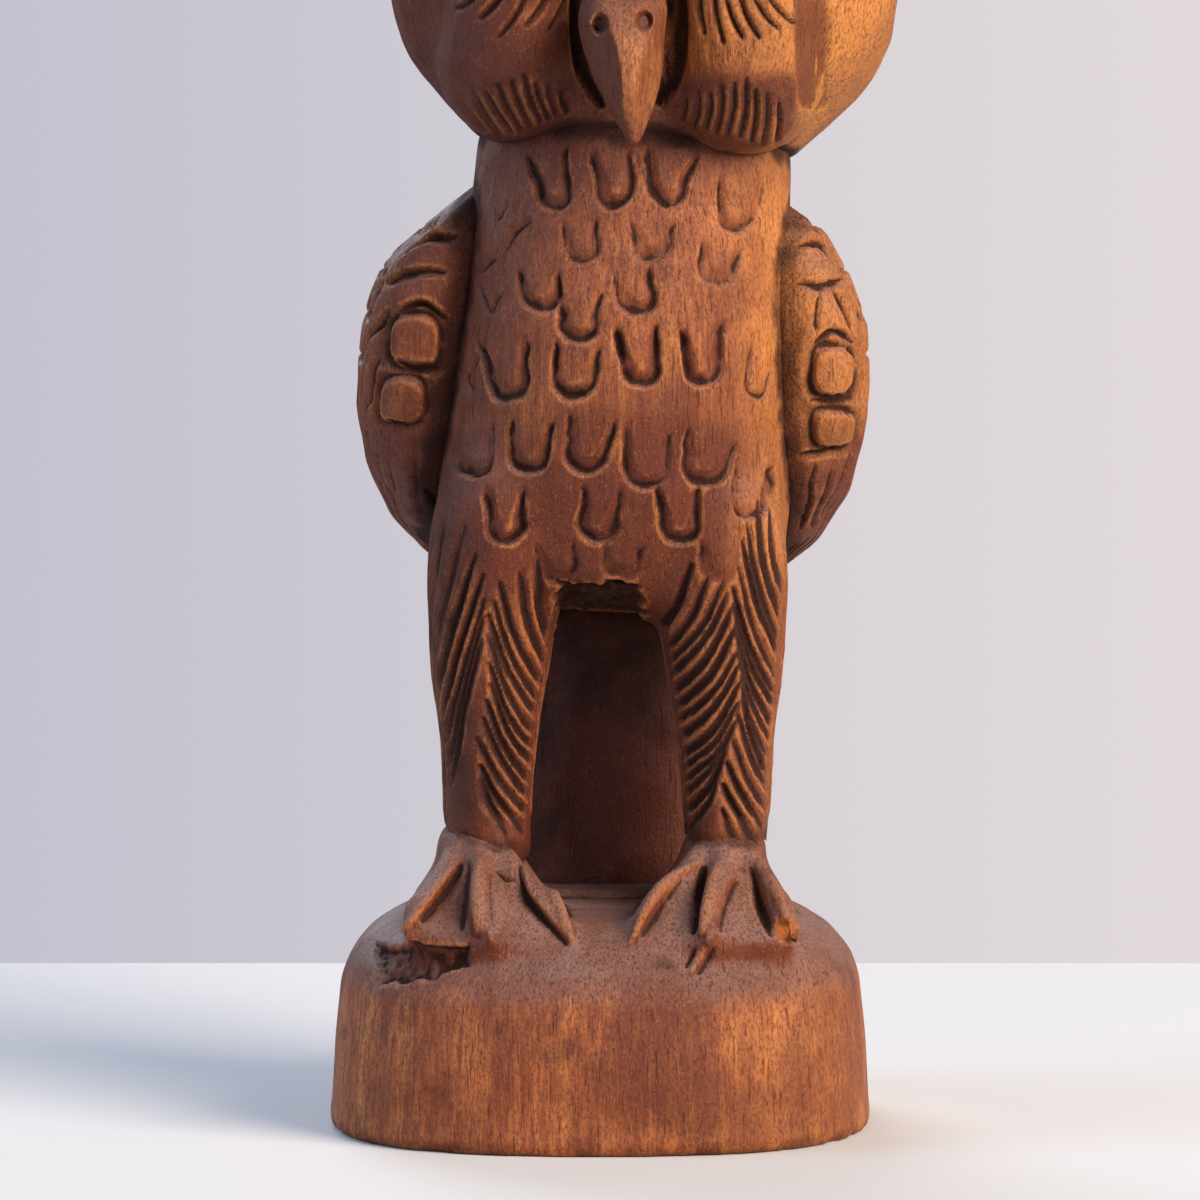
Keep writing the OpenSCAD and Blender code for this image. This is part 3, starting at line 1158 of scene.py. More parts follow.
    def cut_front(self, lump: Lump) -> None:
        """Cuts the feather marks and the legs' herringbone, as seen from in front."""
        across, up = sighted(lump.co)
        front = lump.facing(0.12, 0.42) * (lump.co[:, 1] < 14.0)
        shaky = [0.8 * wobble(lump.co, 6.5, 57 + k) + 0.3 * wobble(lump.co, 2.2, 67 + k) for k in (0, 1)]
        depth = lay_out(self.breast_cuts(), across + shaky[0], up + shaky[1]) * front
        depth *= 0.85 + 0.35 * wobble(lump.co, 2.6, 70)
        barbs = lay_out(all_strokes(self.combs), across + 0.3 * shaky[0], up + 0.3 * shaky[1]) * front
        lump.mark(Trace.HOLLOW, ease(barbs, 0.3, 1.1))
        depth = np.maximum(depth, barbs)
        lump.mark(Trace.HOLLOW, ease(depth, 0.2, 2.2) * 0.56)
        lump.mark(Trace.STAIN, ease(depth, 0.05, 1.0) * 0.8)
        lump.mark(Trace.ROUGH, ease(depth, 0.3, 1.2) * 0.6)
        lump.cut(depth)

    def cut_sides(self, lump: Lump) -> None:
        """Carries the leg feathers round the sides, and marks the back."""
        x, y, z = lump.co.T
        front = lump.facing(0.12, 0.42) * (y < 14.0)
        behind = ease(lump.normal[:, 1], 0.25, 0.6) * ease(z, 116, 122)
        depth = lay_out(self.back_rows.marks(), x, z) * behind
        for side in Side:
            middle = middle_of(f"{side.word}_leg")
            across = (x - middle[0]) * side.value
            run = np.arctan2(across, -(y - middle[1])) * self.leg_radius
            outer = run > 0
            steep = np.where(outer, 3.6, 2.0)
            pitch = np.where(outer, 11.5, 6.8)
            phase = (z + steep * np.abs(run) + 1.4 * wobble(lump.co, 9.0, 61)) / pitch
            top = 121.0 + 0.3 * across + 3.0 * wobble(lump.co, 7.0, 62)
            here = ease(z, top + 5.0, top - 4.0) * ease(z, 63.5, 68.0) * (x * side.value > 0)
            depth = np.maximum(depth, 1.1 * comb(phase, 0.84) ** 1.1 * here * (1.0 - front))
        lump.carve(depth, 0.25, 1.5, 0.75)

    def stain(self, lump: Lump) -> None:
        """Darkens belly and legs, less towards +x; paints shade on the side away from the key lamp, a
        painted shadow under the head, and painted shade where wings, head, feet and tail meet the body.
        """
        x, _, z = lump.co.T
        cloud = 9.0 * wobble(lump.co, 14.0, 63)
        low = ease(z + cloud, 166.0, 141.0) - 0.2 * ease(x, 16.0, 26.0) * ease(z, 120.0, 110.0)
        outer = 1.0 - 0.7 * ease(x + 0.4 * cloud, 22.0, 34.0) * ease(z + cloud, 106.0, 128.0)
        # Painted shade on the side away from the key lamp, towards -x, darker still low down.
        shaded = 0.8 * ease(x + cloud, 2.0, -28.0)
        lump.mark(Trace.HOLLOW, 0.44 * ease(x + 0.6 * cloud, -14.0, -30.0) * ease(z, 150.0, 120.0))
        lump.mark(Trace.ROUGH, 0.45 * ease(x + 0.5 * cloud, -19.0, -29.0) * ease(z, 166.0, 182.0))
        # Painted shadow of the head on the breast just below it, lighter towards +x.
        neck = 0.9 * ease(z + 0.4 * cloud, 194.0, 207.0) * (1.0 - 0.5 * ease(x + cloud, 12.0, 30.0))
        lump.mark(Trace.STAIN, np.maximum(0.95 * low * outer, np.maximum(shaded, neck)))
        # Painted shade where wings and head meet the body; the same places are made rough.
        gap = lump.gap_to("left_wing", "right_wing", "head")
        gap_shade = ease(gap + 1.2 * wobble(lump.co, 3.0, 64), 5.0, 0.5)
        lump.mark(Trace.ROUGH, gap_shade)
        lump.mark(Trace.HOLLOW, 0.7 * gap_shade)
        # Painted shade where feet and tail meet the legs.
        gap_shade = ease(lump.gap_to("left_foot", "right_foot", "tail"), 2.6, 0.2)
        lump.mark(Trace.HOLLOW, 0.5 * gap_shade)

    def saw(self, piece: bpy.types.Object, bench: Bench) -> None:
        """Saws off the legs at the fork, and the back from the breast."""
        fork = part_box("left_leg")[1][2] / MM
        legs = part_off(piece, "right_leg_carved", Vector((0, 0, fork)), Vector((0, 0, -1)))
        left = part_off(legs, "left_leg_carved", Vector((0, 0, 0)), Vector((1, 0, 0)))
        back = part_off(piece, "back", Vector((0, 0.5, 0)), Vector((0, 1, 0)))
        bench.hand_over(piece, BODY_WOOD, ("torso",))
        bench.hand_over(back, BODY_WOOD, ("torso",))
        bench.hand_over(left, BODY_WOOD, ("left_leg",))
        bench.hand_over(legs, BODY_WOOD, ("right_leg",))


RIGHT_WING_CUTS: tuple[Mark, ...] = (
    Stroke(((-41.0, 194.0), (-38.5, 196.3), (-35.0, 197.5)), 1.8, 1.0),
    Stroke(((-45.0, 188.5), (-41.5, 191.5), (-37.5, 192.8), (-31.0, 191.8)), 3.4, 2.2, 0.45),
    Stroke(((-46.5, 181.3), (-43.0, 184.0), (-38.5, 185.3), (-33.0, 183.8)), 3.2, 2.1, 0.45),
    Stroke(((-45.8, 174.3), (-42.0, 176.8), (-38.0, 177.2), (-32.5, 173.8)), 3.2, 2.1, 0.45),
    Boss(-40.4, 169.0, 5.5, 5.3),
    Stroke(((-44.5, 164.6), (-40.0, 162.8), (-33.5, 163.2)), 3.2, 2.4, -0.3),
    Boss(-43.0, 156.2, 4.9, 4.9, 0.3, 1.1),
    Stroke(((-46.8, 151.8), (-42.5, 150.4), (-37.0, 151.2)), 2.2, 1.5),
    Stroke(((-46.3, 176.0), (-48.5, 172.0), (-51.0, 168.5)), 2.0, 1.5),
    Stroke(((-47.0, 182.5), (-49.0, 179.5), (-51.0, 175.5)), 1.8, 1.3),
    Stroke(((-47.8, 166.0), (-49.8, 161.0), (-51.0, 152.0)), 2.0, 1.2),
    Stroke(((-38.5, 138.0), (-35.0, 133.5), (-30.5, 132.5)), 2.6, 1.2),
)
LEFT_WING_CUTS: tuple[Mark, ...] = (
    Stroke(((42.5, 190.3), (46.0, 191.4), (49.5, 190.0), (54.5, 184.8)), 2.6, 1.7, 0.4),
    Stroke(((42.5, 181.7), (48.5, 181.3), (54.0, 182.8)), 3.2, 1.9, 0.4),
    Stroke(((51.2, 180.6), (54.0, 176.0), (54.8, 171.0)), 2.0, 1.5, 0.3),
    Stroke(((56.0, 180.0), (57.5, 174.5)), 1.6, 1.0),
    Stroke(((47.8, 180.0), (46.8, 175.5), (47.2, 171.0)), 2.2, 1.2),
    Stroke(((46.0, 168.0), (51.2, 171.2), (56.0, 168.6)), 3.2, 2.0, 0.4),
    Boss(50.9, 162.7, 4.4, 4.8),
    Stroke(((45.5, 156.3), (50.5, 156.2), (56.0, 157.2)), 3.0, 1.9),
    Boss(51.2, 150.3, 4.4, 3.8, 0.4, 1.4),
    Stroke(((43.0, 144.4), (49.0, 145.0), (55.5, 146.5)), 2.6, 1.8),
)
LONG_FEATHERS: dict[Side, Comb] = {
    Side.RIGHT: Comb(
        ((-51.0, 160.0), (-47.5, 149.0), (-40.0, 149.0)),
        ((-49.5, 140.0), (-45.0, 130.0), (-38.5, 130.0)),
        4, 2.8, 0.7, 0.05, 0.3,
    ),
    Side.LEFT: Comb(
        ((47.0, 143.0), (50.5, 143.0), (54.5, 144.5)),
        ((43.0, 129.5), (45.0, 128.0), (48.5, 130.0)),
        3, 2.2, 0.8, -0.06, 0.3,
    ),
}


@dataclass
class Wing:
    """A folded wing: tiles and bars in front, shoulder scales and long flight feathers."""

    side: Side
    voxel: float = 1.0
    arc: float = 0.36

    def build(self, bench: Bench) -> None:
        """Carves the wing."""
        name = f"{self.side.word}_wing"
        sunk = {"torso": 2.0, "tail": 1.0, f"{self.side.word}_leg": 1.0}
        lump = rough_out(f"{name}_carved", (name,), self.voxel, sunk)
        if self.side is Side.RIGHT:
            self.slope_shoulder(lump)
        lump.soften(8)
        refine(lump)
        hand_finish(lump, 0.55, 71 + self.side.value)
        self.cut_front(lump)
        self.cut_side(lump)
        lump.read_relief()
        self.stain(lump)
        lump.keep_traces()
        bench.hand_over(lump.piece, BODY_WOOD, (name,))

    def slope_shoulder(self, lump: Lump) -> None:
        """Slopes the shoulder down from the neck."""
        way = np.array((-0.64, -0.10, 0.76))
        over = np.clip(lump.co @ way - np.array((-36.0, -10.0, 194.5)) @ way, 0.0, None)
        lump.co -= over[:, None] * way
        lump.settle()

    def cut_front(self, lump: Lump) -> None:
        """Cuts tiles, bars and feathers, as seen from in front."""
        cuts = list(RIGHT_WING_CUTS if self.side is Side.RIGHT else LEFT_WING_CUTS)
        cuts += LONG_FEATHERS[self.side].strokes()
        across, up = sighted(lump.co)
        shaky = (0.7 * wobble(lump.co, 5.5, 86), 0.7 * wobble(lump.co, 5.5, 87))
        depth = 1.25 * lay_out(cuts, across + shaky[0], up + shaky[1]) * lump.facing(0.05, 0.38)
        depth *= 0.9 + 0.3 * wobble(lump.co, 2.4, 88)
        lump.mark(Trace.ROUGH, ease(depth, 0.2, 1.0))
        lump.carve(depth, 0.3, 1.8, 0.85)

    def cut_side(self, lump: Lump) -> None:
        """Cuts scales on the shoulder and long feathers along side and back."""
        middle = axis_of(lump.co)(lump.co[:, 2])
        z = lump.co[:, 2]
        out = (lump.co[:, 0] - middle[:, 0]) * self.side.value
        turn = np.degrees(np.arctan2(out, -(lump.co[:, 1] - middle[:, 1]) * 0.5))
        behind = 1.0 - lump.facing(0.15, 0.35)
        phase = (turn + 0.16 * (z - 150.0)) / 12.5 + 0.1 * wobble(lump.co, 11.0, 81)
        depth = 1.2 * comb(phase, 0.62) ** 1.1 * ease(z, 168.0, 158.0) * behind
        scales = FeatherRows(
            4, range(8), pitch=(8.2, 9.5), start=(5.0, 197.0), size=(7.4, 9.5),
            seeds=(self.side.value, 25), stray=1.5, depth=1.2,
        )
        shoulder = lay_out(scales.marks(), turn * self.arc, z) * ease(z, 199.0, 193.0)
        depth = np.maximum(depth, shoulder * behind)
        lump.carve(depth, 0.25, 1.5, 0.75)

    def stain(self, lump: Lump) -> None:
        """Darkens the wing towards its tip, darkens the right wing more as painted shade away from the key
        lamp, and paints shade in the valley beside the breast, which is also made rough.
        """
        z = lump.co[:, 2]
        cloud = 8.0 * wobble(lump.co, 12.0, 83)
        # Painted shade: the right wing, on the side away from the key lamp, starts darker than the left.
        base = 0.6 if self.side is Side.RIGHT else 0.35
        lump.mark(Trace.STAIN, base + 0.65 * ease(z + cloud, 162.0, 138.0))
        if self.side is Side.RIGHT:
            lump.mark(Trace.ROUGH, 0.55 * ease(z + cloud, 166.0, 184.0))
        # Painted shade in the valley where the wing meets the body, also made rough.
        gap_shade = ease(lump.gap_to("torso") + 1.5 * wobble(lump.co, 3.0, 84), 7.5, 2.0)
        lump.mark(Trace.ROUGH, gap_shade)
        lump.mark(Trace.HOLLOW, (0.7 if self.side is Side.RIGHT else 0.5) * gap_shade)


@dataclass
class Head:
    """The head: face, brows, crown and ear tufts in one lump, then sawn into masses."""

    voxel: float = 1.05
    eye_radius: float = 9.0
    combs: tuple[Comb, ...] = (
        Comb(
            ((21.5, 246.5), (29.0, 243.5), (36.5, 245.0)),
            ((22.8, 234.5), (32.0, 233.3), (42.5, 238.0)),
            6, 2.1, 1.7, 0.04, 0.3,
        ),
        Comb(
            ((-25.0, 246.0), (-15.5, 244.5), (-6.5, 245.0)),
            ((-31.5, 241.5), (-22.5, 235.5), (-11.0, 237.0)),
            5, 2.1, 1.6, -0.04, -0.3,
        ),
        Comb(
            ((18.5, 222.0), (29.5, 226.0), (39.0, 221.5)),
            ((18.0, 216.0), (27.5, 212.5), (38.0, 211.0)),
            9, 2.3, 1.2, -0.06, 0.3,
        ),
        Comb(
            ((-31.0, 222.0), (-19.0, 226.5), (-8.0, 224.0)),
            ((-23.0, 212.0), (-13.5, 215.0), (-7.0, 218.5)),
            9, 2.3, 1.2, 0.04,
        ),
    )
    rear_rows: FeatherRows = FeatherRows(
        6, range(-5, 6), pitch=(11.5, 12.0), start=(0.0, 32.0), size=(8.6, 10.2), seeds=(5, 23)
    )
    middle: Array = field(init=False)
    across: Array = field(init=False)
    forward: Array = field(init=False)
    up: Array = field(init=False)

    def __post_init__(self) -> None:
        """Finds the face's own directions from its two eyes."""
        eyes = [middle_of(f"{side.word}_eye") for side in Side]
        self.middle = (eyes[0] + eyes[1]) / 2
        self.across = (eyes[0] - eyes[1]) / np.linalg.norm(eyes[0] - eyes[1])
        self.forward = np.cross(self.across, (0.0, 0.0, 1.0))
        self.forward /= np.linalg.norm(self.forward)
        self.up = np.cross(self.forward, self.across)

    def local(self, points: Array) -> tuple[Array, Array, Array]:
        """Coordinates across, up and out of the face, from between the eyes."""
        away = points - self.middle
        return away @ self.across, away @ self.up, away @ self.forward

    def build(self, bench: Bench) -> None:
        """Carves the head and hands over its pieces."""
        nodes = ["head"]
        for side in Side:
            nodes += [f"{side.word}_{mass}" for mass in ("face_disc", "brow", "ear_tuft")]
        lump = rough_out("right_crown", nodes, self.voxel, {"torso": 1.5})
        self.chisel_flats(lump)
        lump.soften(3)
        refine(lump)
        hand_finish(lump, 0.4, 91)
        self.cut_channels(lump)
        self.cut_face(lump)
        self.cut_crown(lump)
        lump.read_relief()
        self.stain(lump)
        lump.keep_traces()
        self.saw(lump.piece, bench)

    def chisel_flats(self, lump: Lump) -> None:
        """Leaves the broad flats of a wide chisel round the sides and back of the head."""
        _, v, w = self.local(lump.co)
        behind = (w < -24.0) & (v < 38.0)
        for turn, lift in product(range(0, 360, 36), (-42, -8, 30)):
            angle = math.radians(turn + 0.4 * lift)
            tilt = math.radians(lift)
            flat = math.cos(tilt)
            way = (flat * math.cos(angle), flat * math.sin(angle), math.sin(tilt))
            if way[1] > -0.55:
                lump.plane_off(way, 0.9, behind)

    def cut_channels(self, lump: Lump) -> None:
        """Cuts the channels beside the beak and the bands beside the face."""
        across, up = sighted(lump.co)
        front = lump.facing(0.1, 0.4)
        bands = [
            Stroke(((45.5, 256.0), (46.0, 238.0), (46.0, 219.0)), 9.6, 2.4, 0.0, 0.2),
            Stroke(((-39.0, 252.0), (-39.5, 238.0), (-37.0, 224.0)), 7.0, 1.2, 0.0, 0.25),
        ]
        gutters = [
            Stroke(((-4.6, 250.0), (-4.8, 237.0), (-3.5, 227.0), (0.5, 219.5)), 3.6, 3.6, 0.0, 0.2),
            Stroke(((15.5, 252.0), (16.5, 240.0), (15.8, 228.0), (12.5, 220.0)), 5.6, 3.0, 0.0, 0.2),
        ]
        band = lay_out(bands, across, up) * front
        gutter = lay_out(gutters, across, up) * front
        # Painted shade in the recessed band beside the face.
        lump.mark(Trace.STAIN, 0.85 * ease(band, 0.1, 0.9))
        lump.mark(Trace.HOLLOW, 0.25 * ease(band, 0.1, 1.6))
        # The gutters beside the beak: stain in the cut, with painted shade making the left one, away from
        # the key lamp, darker.
        lump.mark(Trace.HOLLOW, ease(gutter, 0.4, 2.4) * np.where(across > 5.0, 0.7, 1.0))
        lump.mark(Trace.ROUGH, ease(gutter, 0.2, 1.5))
        hair = 0.6 * comb(across / 1.3 + 0.5 * wobble(lump.co, 4.0, 95), 0.9) * ease(gutter, 0.1, 0.8)
        lump.cut(np.minimum(band, 0.7) + gutter + hair)

    def cut_face(self, lump: Lump) -> None:
        """Cuts the eye rings, the rays under the eyes and the cheeks' fringe."""
        across, up = sighted(lump.co)
        depth = lay_out(all_strokes(self.combs), across, up)
        u, v, w = self.local(lump.co)
        for side in Side:
            a = u * side.value - 22.0
            reach = np.hypot(a, v)
            ring = trench(reach - (self.eye_radius + 2.8), 2.4, 1.3) * ease(v, -8.0, -3.0)
            turn = np.degrees(np.arctan2(v, a))
            share = np.clip((reach - self.eye_radius - 5.0) / 10.0, 0, 1)
            fan = np.sqrt(np.clip(4 * share * (1 - share), 0, 1))
            upper = fan * (turn > -18.0) * (turn < 70.0) * comb((turn + 1.1 * reach) / 13.0, 0.6)
            depth = np.maximum(depth, np.maximum(ring, 1.2 * upper))
        depth *= lump.facing(0.1, 0.35) * ease(w, -34.0, -28.0)
        lump.carve(depth, 0.3, 1.6, 0.7)

    def cut_crown(self, lump: Lump) -> None:
        """Cuts brow feathers, tuft feathers and rows of marks over the back of the head."""
        u, v, w = self.local(lump.co)
        brow = ease(v, 13.0, 17.0) * ease(w, -22.0, -14.0)
        phase = (np.abs(u) * 0.8 - v * 0.6 + 0.8 * wobble(lump.co, 8.0, 97)) / 3.6
        depth = 0.9 * comb(phase, 0.7) * brow
        tuft = ease(v, 30.0, 34.0) * ease(np.abs(u), 24.0, 29.0)
        phase = (np.abs(u) - 0.55 * v) / 3.4
        depth = np.maximum(depth, 1.1 * comb(phase, 0.72) * tuft)
        rear = ease(w, -48.0, -54.0)
        turned = np.degrees(np.arctan2(u, -(w + 44.0))) * 0.86
        depth = np.maximum(depth, lay_out(self.rear_rows.marks(), turned, v) * rear)
        lump.carve(depth, 0.3, 1.6, 0.7)

    def stain(self, lump: Lump) -> None:
        """Paints shade on the cheek away from the key lamp, a painted shadow low on the face under the
        fringe at +x, and painted shade where the head meets body and beak.
        """
        across, up = sighted(lump.co)
        cloud = 5.0 * wobble(lump.co, 10.0, 98)
        # Painted shade on the cheek towards -x, away from the key lamp.
        cheek = ease(across + 0.6 * cloud, 8.0, -2.0)
        # Painted shadow low on the face, under the fringe at +x.
        fringe = ease(np.abs(across - 28.0) + 0.2 * cloud, 17.0, 12.0)
        lobe = 0.95 * ease(up + 0.5 * cloud, 229.0, 224.0) * fringe * lump.facing()
        lump.mark(Trace.STAIN, np.maximum(cheek, lobe))
        lump.mark(Trace.HOLLOW, 0.34 * np.maximum(cheek * ease(up, 243.0, 228.0), 0.8 * lobe))
        # Painted shade where the head meets body and beak.
        gap_shade = ease(lump.gap_to("torso", "beak") + 0.8 * wobble(lump.co, 2.5, 99), 3.2, 0.4)
        lump.mark(Trace.HOLLOW, 0.85 * gap_shade)

    def saw(self, piece: bpy.types.Object, bench: Bench) -> None:
        """Saws off the face, left and right."""
        start = Vector(self.middle - 20.0 * self.forward)
        faces = part_off(piece, "right_face", start, Vector(self.forward))
        left = part_off(faces, "left_face", Vector(self.middle), Vector(self.across))
        half = part_off(piece, "left_crown", Vector(self.middle), Vector(self.across))
        bench.hand_over(half, HEAD_WOOD, ("head", "left_ear_tuft"))
        bench.hand_over(piece, HEAD_WOOD, ("head", "right_ear_tuft"))
        bench.hand_over(left, HEAD_WOOD, ("left_face_disc", "left_brow"))
        bench.hand_over(faces, HEAD_WOOD, ("right_face_disc", "right_brow"))


@dataclass
class Beak:
    """The hooked beak: three flats, and two bored nostrils."""

    voxel: float = 0.6
    nostrils: tuple[Point, ...] = ((0.0, 237.8), (9.5, 238.5))

    def build(self, bench: Bench) -> None:
        """Carves the beak."""
        lump = rough_out("beak_carved", ("beak",), self.voxel, {"head": 0.5})
        low = lump.co[:, 2] < 233.0
        lump.plane_off((-0.76, -0.64, -0.06), 1.7, low)
        lump.plane_off((0.90, -0.42, -0.12), 1.3, low)
        lump.soften(1)
        refine(lump)
        across, up = sighted(lump.co)
        pits = np.zeros(len(across))
        for a, z in self.nostrils:
            pits += ease(np.hypot((across - a) / 2.2, (up - z) / 2.7), 1.0, 0.45)
        pits *= lump.facing(0.15, 0.4)
        lump.mark(Trace.HOLLOW, np.where(across < 5.0, 0.55, 0.3) * pits)
        lump.mark(Trace.STAIN, pits)
        lump.co[:, 1] += 2.2 * pits
        lump.settle()
        lump.cut(0.1 * wobble(lump.co, 5.0, 101) + 0.12 * scoops(lump.co, 4.0, 102))
        lump.read_relief()
        shade = ease(-lump.normal[:, 0], 0.25, 0.6)
        tip = ease(lump.co[:, 2], 217.0, 209.0) * 0.6
        lump.mark(Trace.STAIN, np.maximum(shade, tip))
        lump.mark(Trace.HOLLOW, 0.7 * ease(lump.gap_to("head"), 2.0, 0.2))
        lump.keep_traces()
        bench.hand_over(lump.piece, BEAK_WOOD, ("beak",))


@dataclass
class Eye:
    """A carved eyeball with a dark disc for its pupil."""

    side: Side
    voxel: float = 0.5

    def build(self, bench: Bench) -> None:
        """Carves the eye."""
        name = f"{self.side.word}_eye"
        lump = rough_out(f"{name}_carved", (name,), self.voxel, {})
        refine(lump)
        middle = middle_of(name)
        reach = np.hypot(lump.co[:, 0] - middle[0], lump.co[:, 2] - middle[2])
        ring = trench(reach - 6.2, 1.6, 0.7) * (lump.normal[:, 1] < 0)
        lump.mark(Trace.HOLLOW, ring)
        lump.cut(ring + 0.1 * wobble(lump.co, 4.0, 103))
        lump.read_relief()
        # Painted shade: a dark disc stands for the shadow in a bored pupil, though no hole is cut.
        lump.mark(Trace.HOLLOW, ease(reach, 3.9, 2.9) * (lump.normal[:, 1] < 0.5))
        lump.keep_traces()
        bench.hand_over(lump.piece, SHADED_WOOD, (name,))


@dataclass
class Tail:
    """The tail slab behind the legs."""

    voxel: float = 1.2

    def build(self, bench: Bench) -> None:
        """Carves the tail with long feathers down its back."""
        lump = rough_out("tail_carved", ("tail",), self.voxel, {"plinth": 2.0, "torso": 2.0})
        lump.soften(6)
        refine(lump)
        hand_finish(lump, 0.9, 121)
        x, y, z = lump.co.T
        behind = ease(lump.normal[:, 1], 0.1, 0.5)
        phase = (x - 2.0) * (1 + 0.002 * (z - 48)) / 6.0
        depth = 1.3 * comb(phase, 0.5) * behind * ease(z, 150.0, 140.0)
        lump.carve(depth, 0.3, 1.6, 0.75)
        lump.read_relief()
        # Painted shade: the front of the tail, in the cavity behind the legs, is darkened, more higher up
        # and towards -x.
        front = ease(-lump.normal[:, 1], 0.1, 0.5)
        deep = ease(z + 10 * wobble(lump.co, 12.0, 122), 62.0, 98.0)
        lump.mark(Trace.HOLLOW, front * np.maximum(0.55 * deep, 0.6 * ease(x, 4.0, -16.0)))
        lump.mark(Trace.STAIN, front)
        lump.keep_traces()
        bench.hand_over(lump.piece, SHADED_WOOD, ("tail",))


TOE_CUTS: tuple[Mark, ...] = (
    Stroke(((-31.5, 55.0), (-37.5, 47.5), (-43.0, 40.5)), 3.4, -1.3),
    Stroke(((-30.0, 55.5), (-34.0, 49.0), (-39.0, 42.5)), 4.0, 1.5),
    Stroke(((-26.3, 56.5), (-26.8, 47.5), (-26.3, 39.5)), 4.6, -1.5),
    Stroke(((-28.8, 56.0), (-30.0, 46.5), (-30.3, 40.5)), 3.6, 1.2),
    Stroke(((-23.4, 53.5), (-23.4, 46.5), (-23.0, 40.5)), 4.0, 1.2),
    Stroke(((-15.3, 56.5), (-11.0, 49.8), (-8.2, 44.0), (-5.6, 37.5)), 2.8, -1.5),
    Stroke(((-17.2, 55.5), (-16.8, 49.5), (-12.2, 43.5), (-6.8, 37.7)), 3.8, 2.6, 0.4),
    Stroke(((-22.6, 54.0), (-20.0, 51.8), (-17.0, 54.5)), 1.2, 0.9),
    Stroke(((22.0, 56.0), (15.2, 51.8), (11.0, 47.0), (6.5, 37.5)), 3.4, -1.5),
    Stroke(((18.5, 53.5), (13.5, 45.5), (9.0, 39.5)), 4.2, 1.5),
    Stroke(((22.5, 55.3), (20.8, 47.5), (19.9, 40.0)), 3.4, 2.4, -0.4),
    Stroke(((25.7, 55.5), (23.7, 47.3), (22.3, 39.5)), 4.4, -1.8),
    Stroke(((30.0, 52.0), (28.2, 46.0), (26.5, 40.0)), 5.4, 1.4),
    Stroke(((32.7, 55.0), (34.3, 46.7), (37.4, 39.5)), 3.6, 2.4, -0.4),
    Stroke(((34.3, 56.5), (38.2, 49.6), (41.3, 42.0)), 3.6, -1.4),
    Stroke(((23.0, 37.5), (21.3, 34.3), (19.5, 31.0)), 3.0, -1.1),
    Stroke(((21.0, 37.0), (18.7, 32.5)), 1.5, 1.0),
    Stroke(((25.3, 37.3), (23.5, 34.0), (21.3, 31.0)), 1.8, 1.0),
)


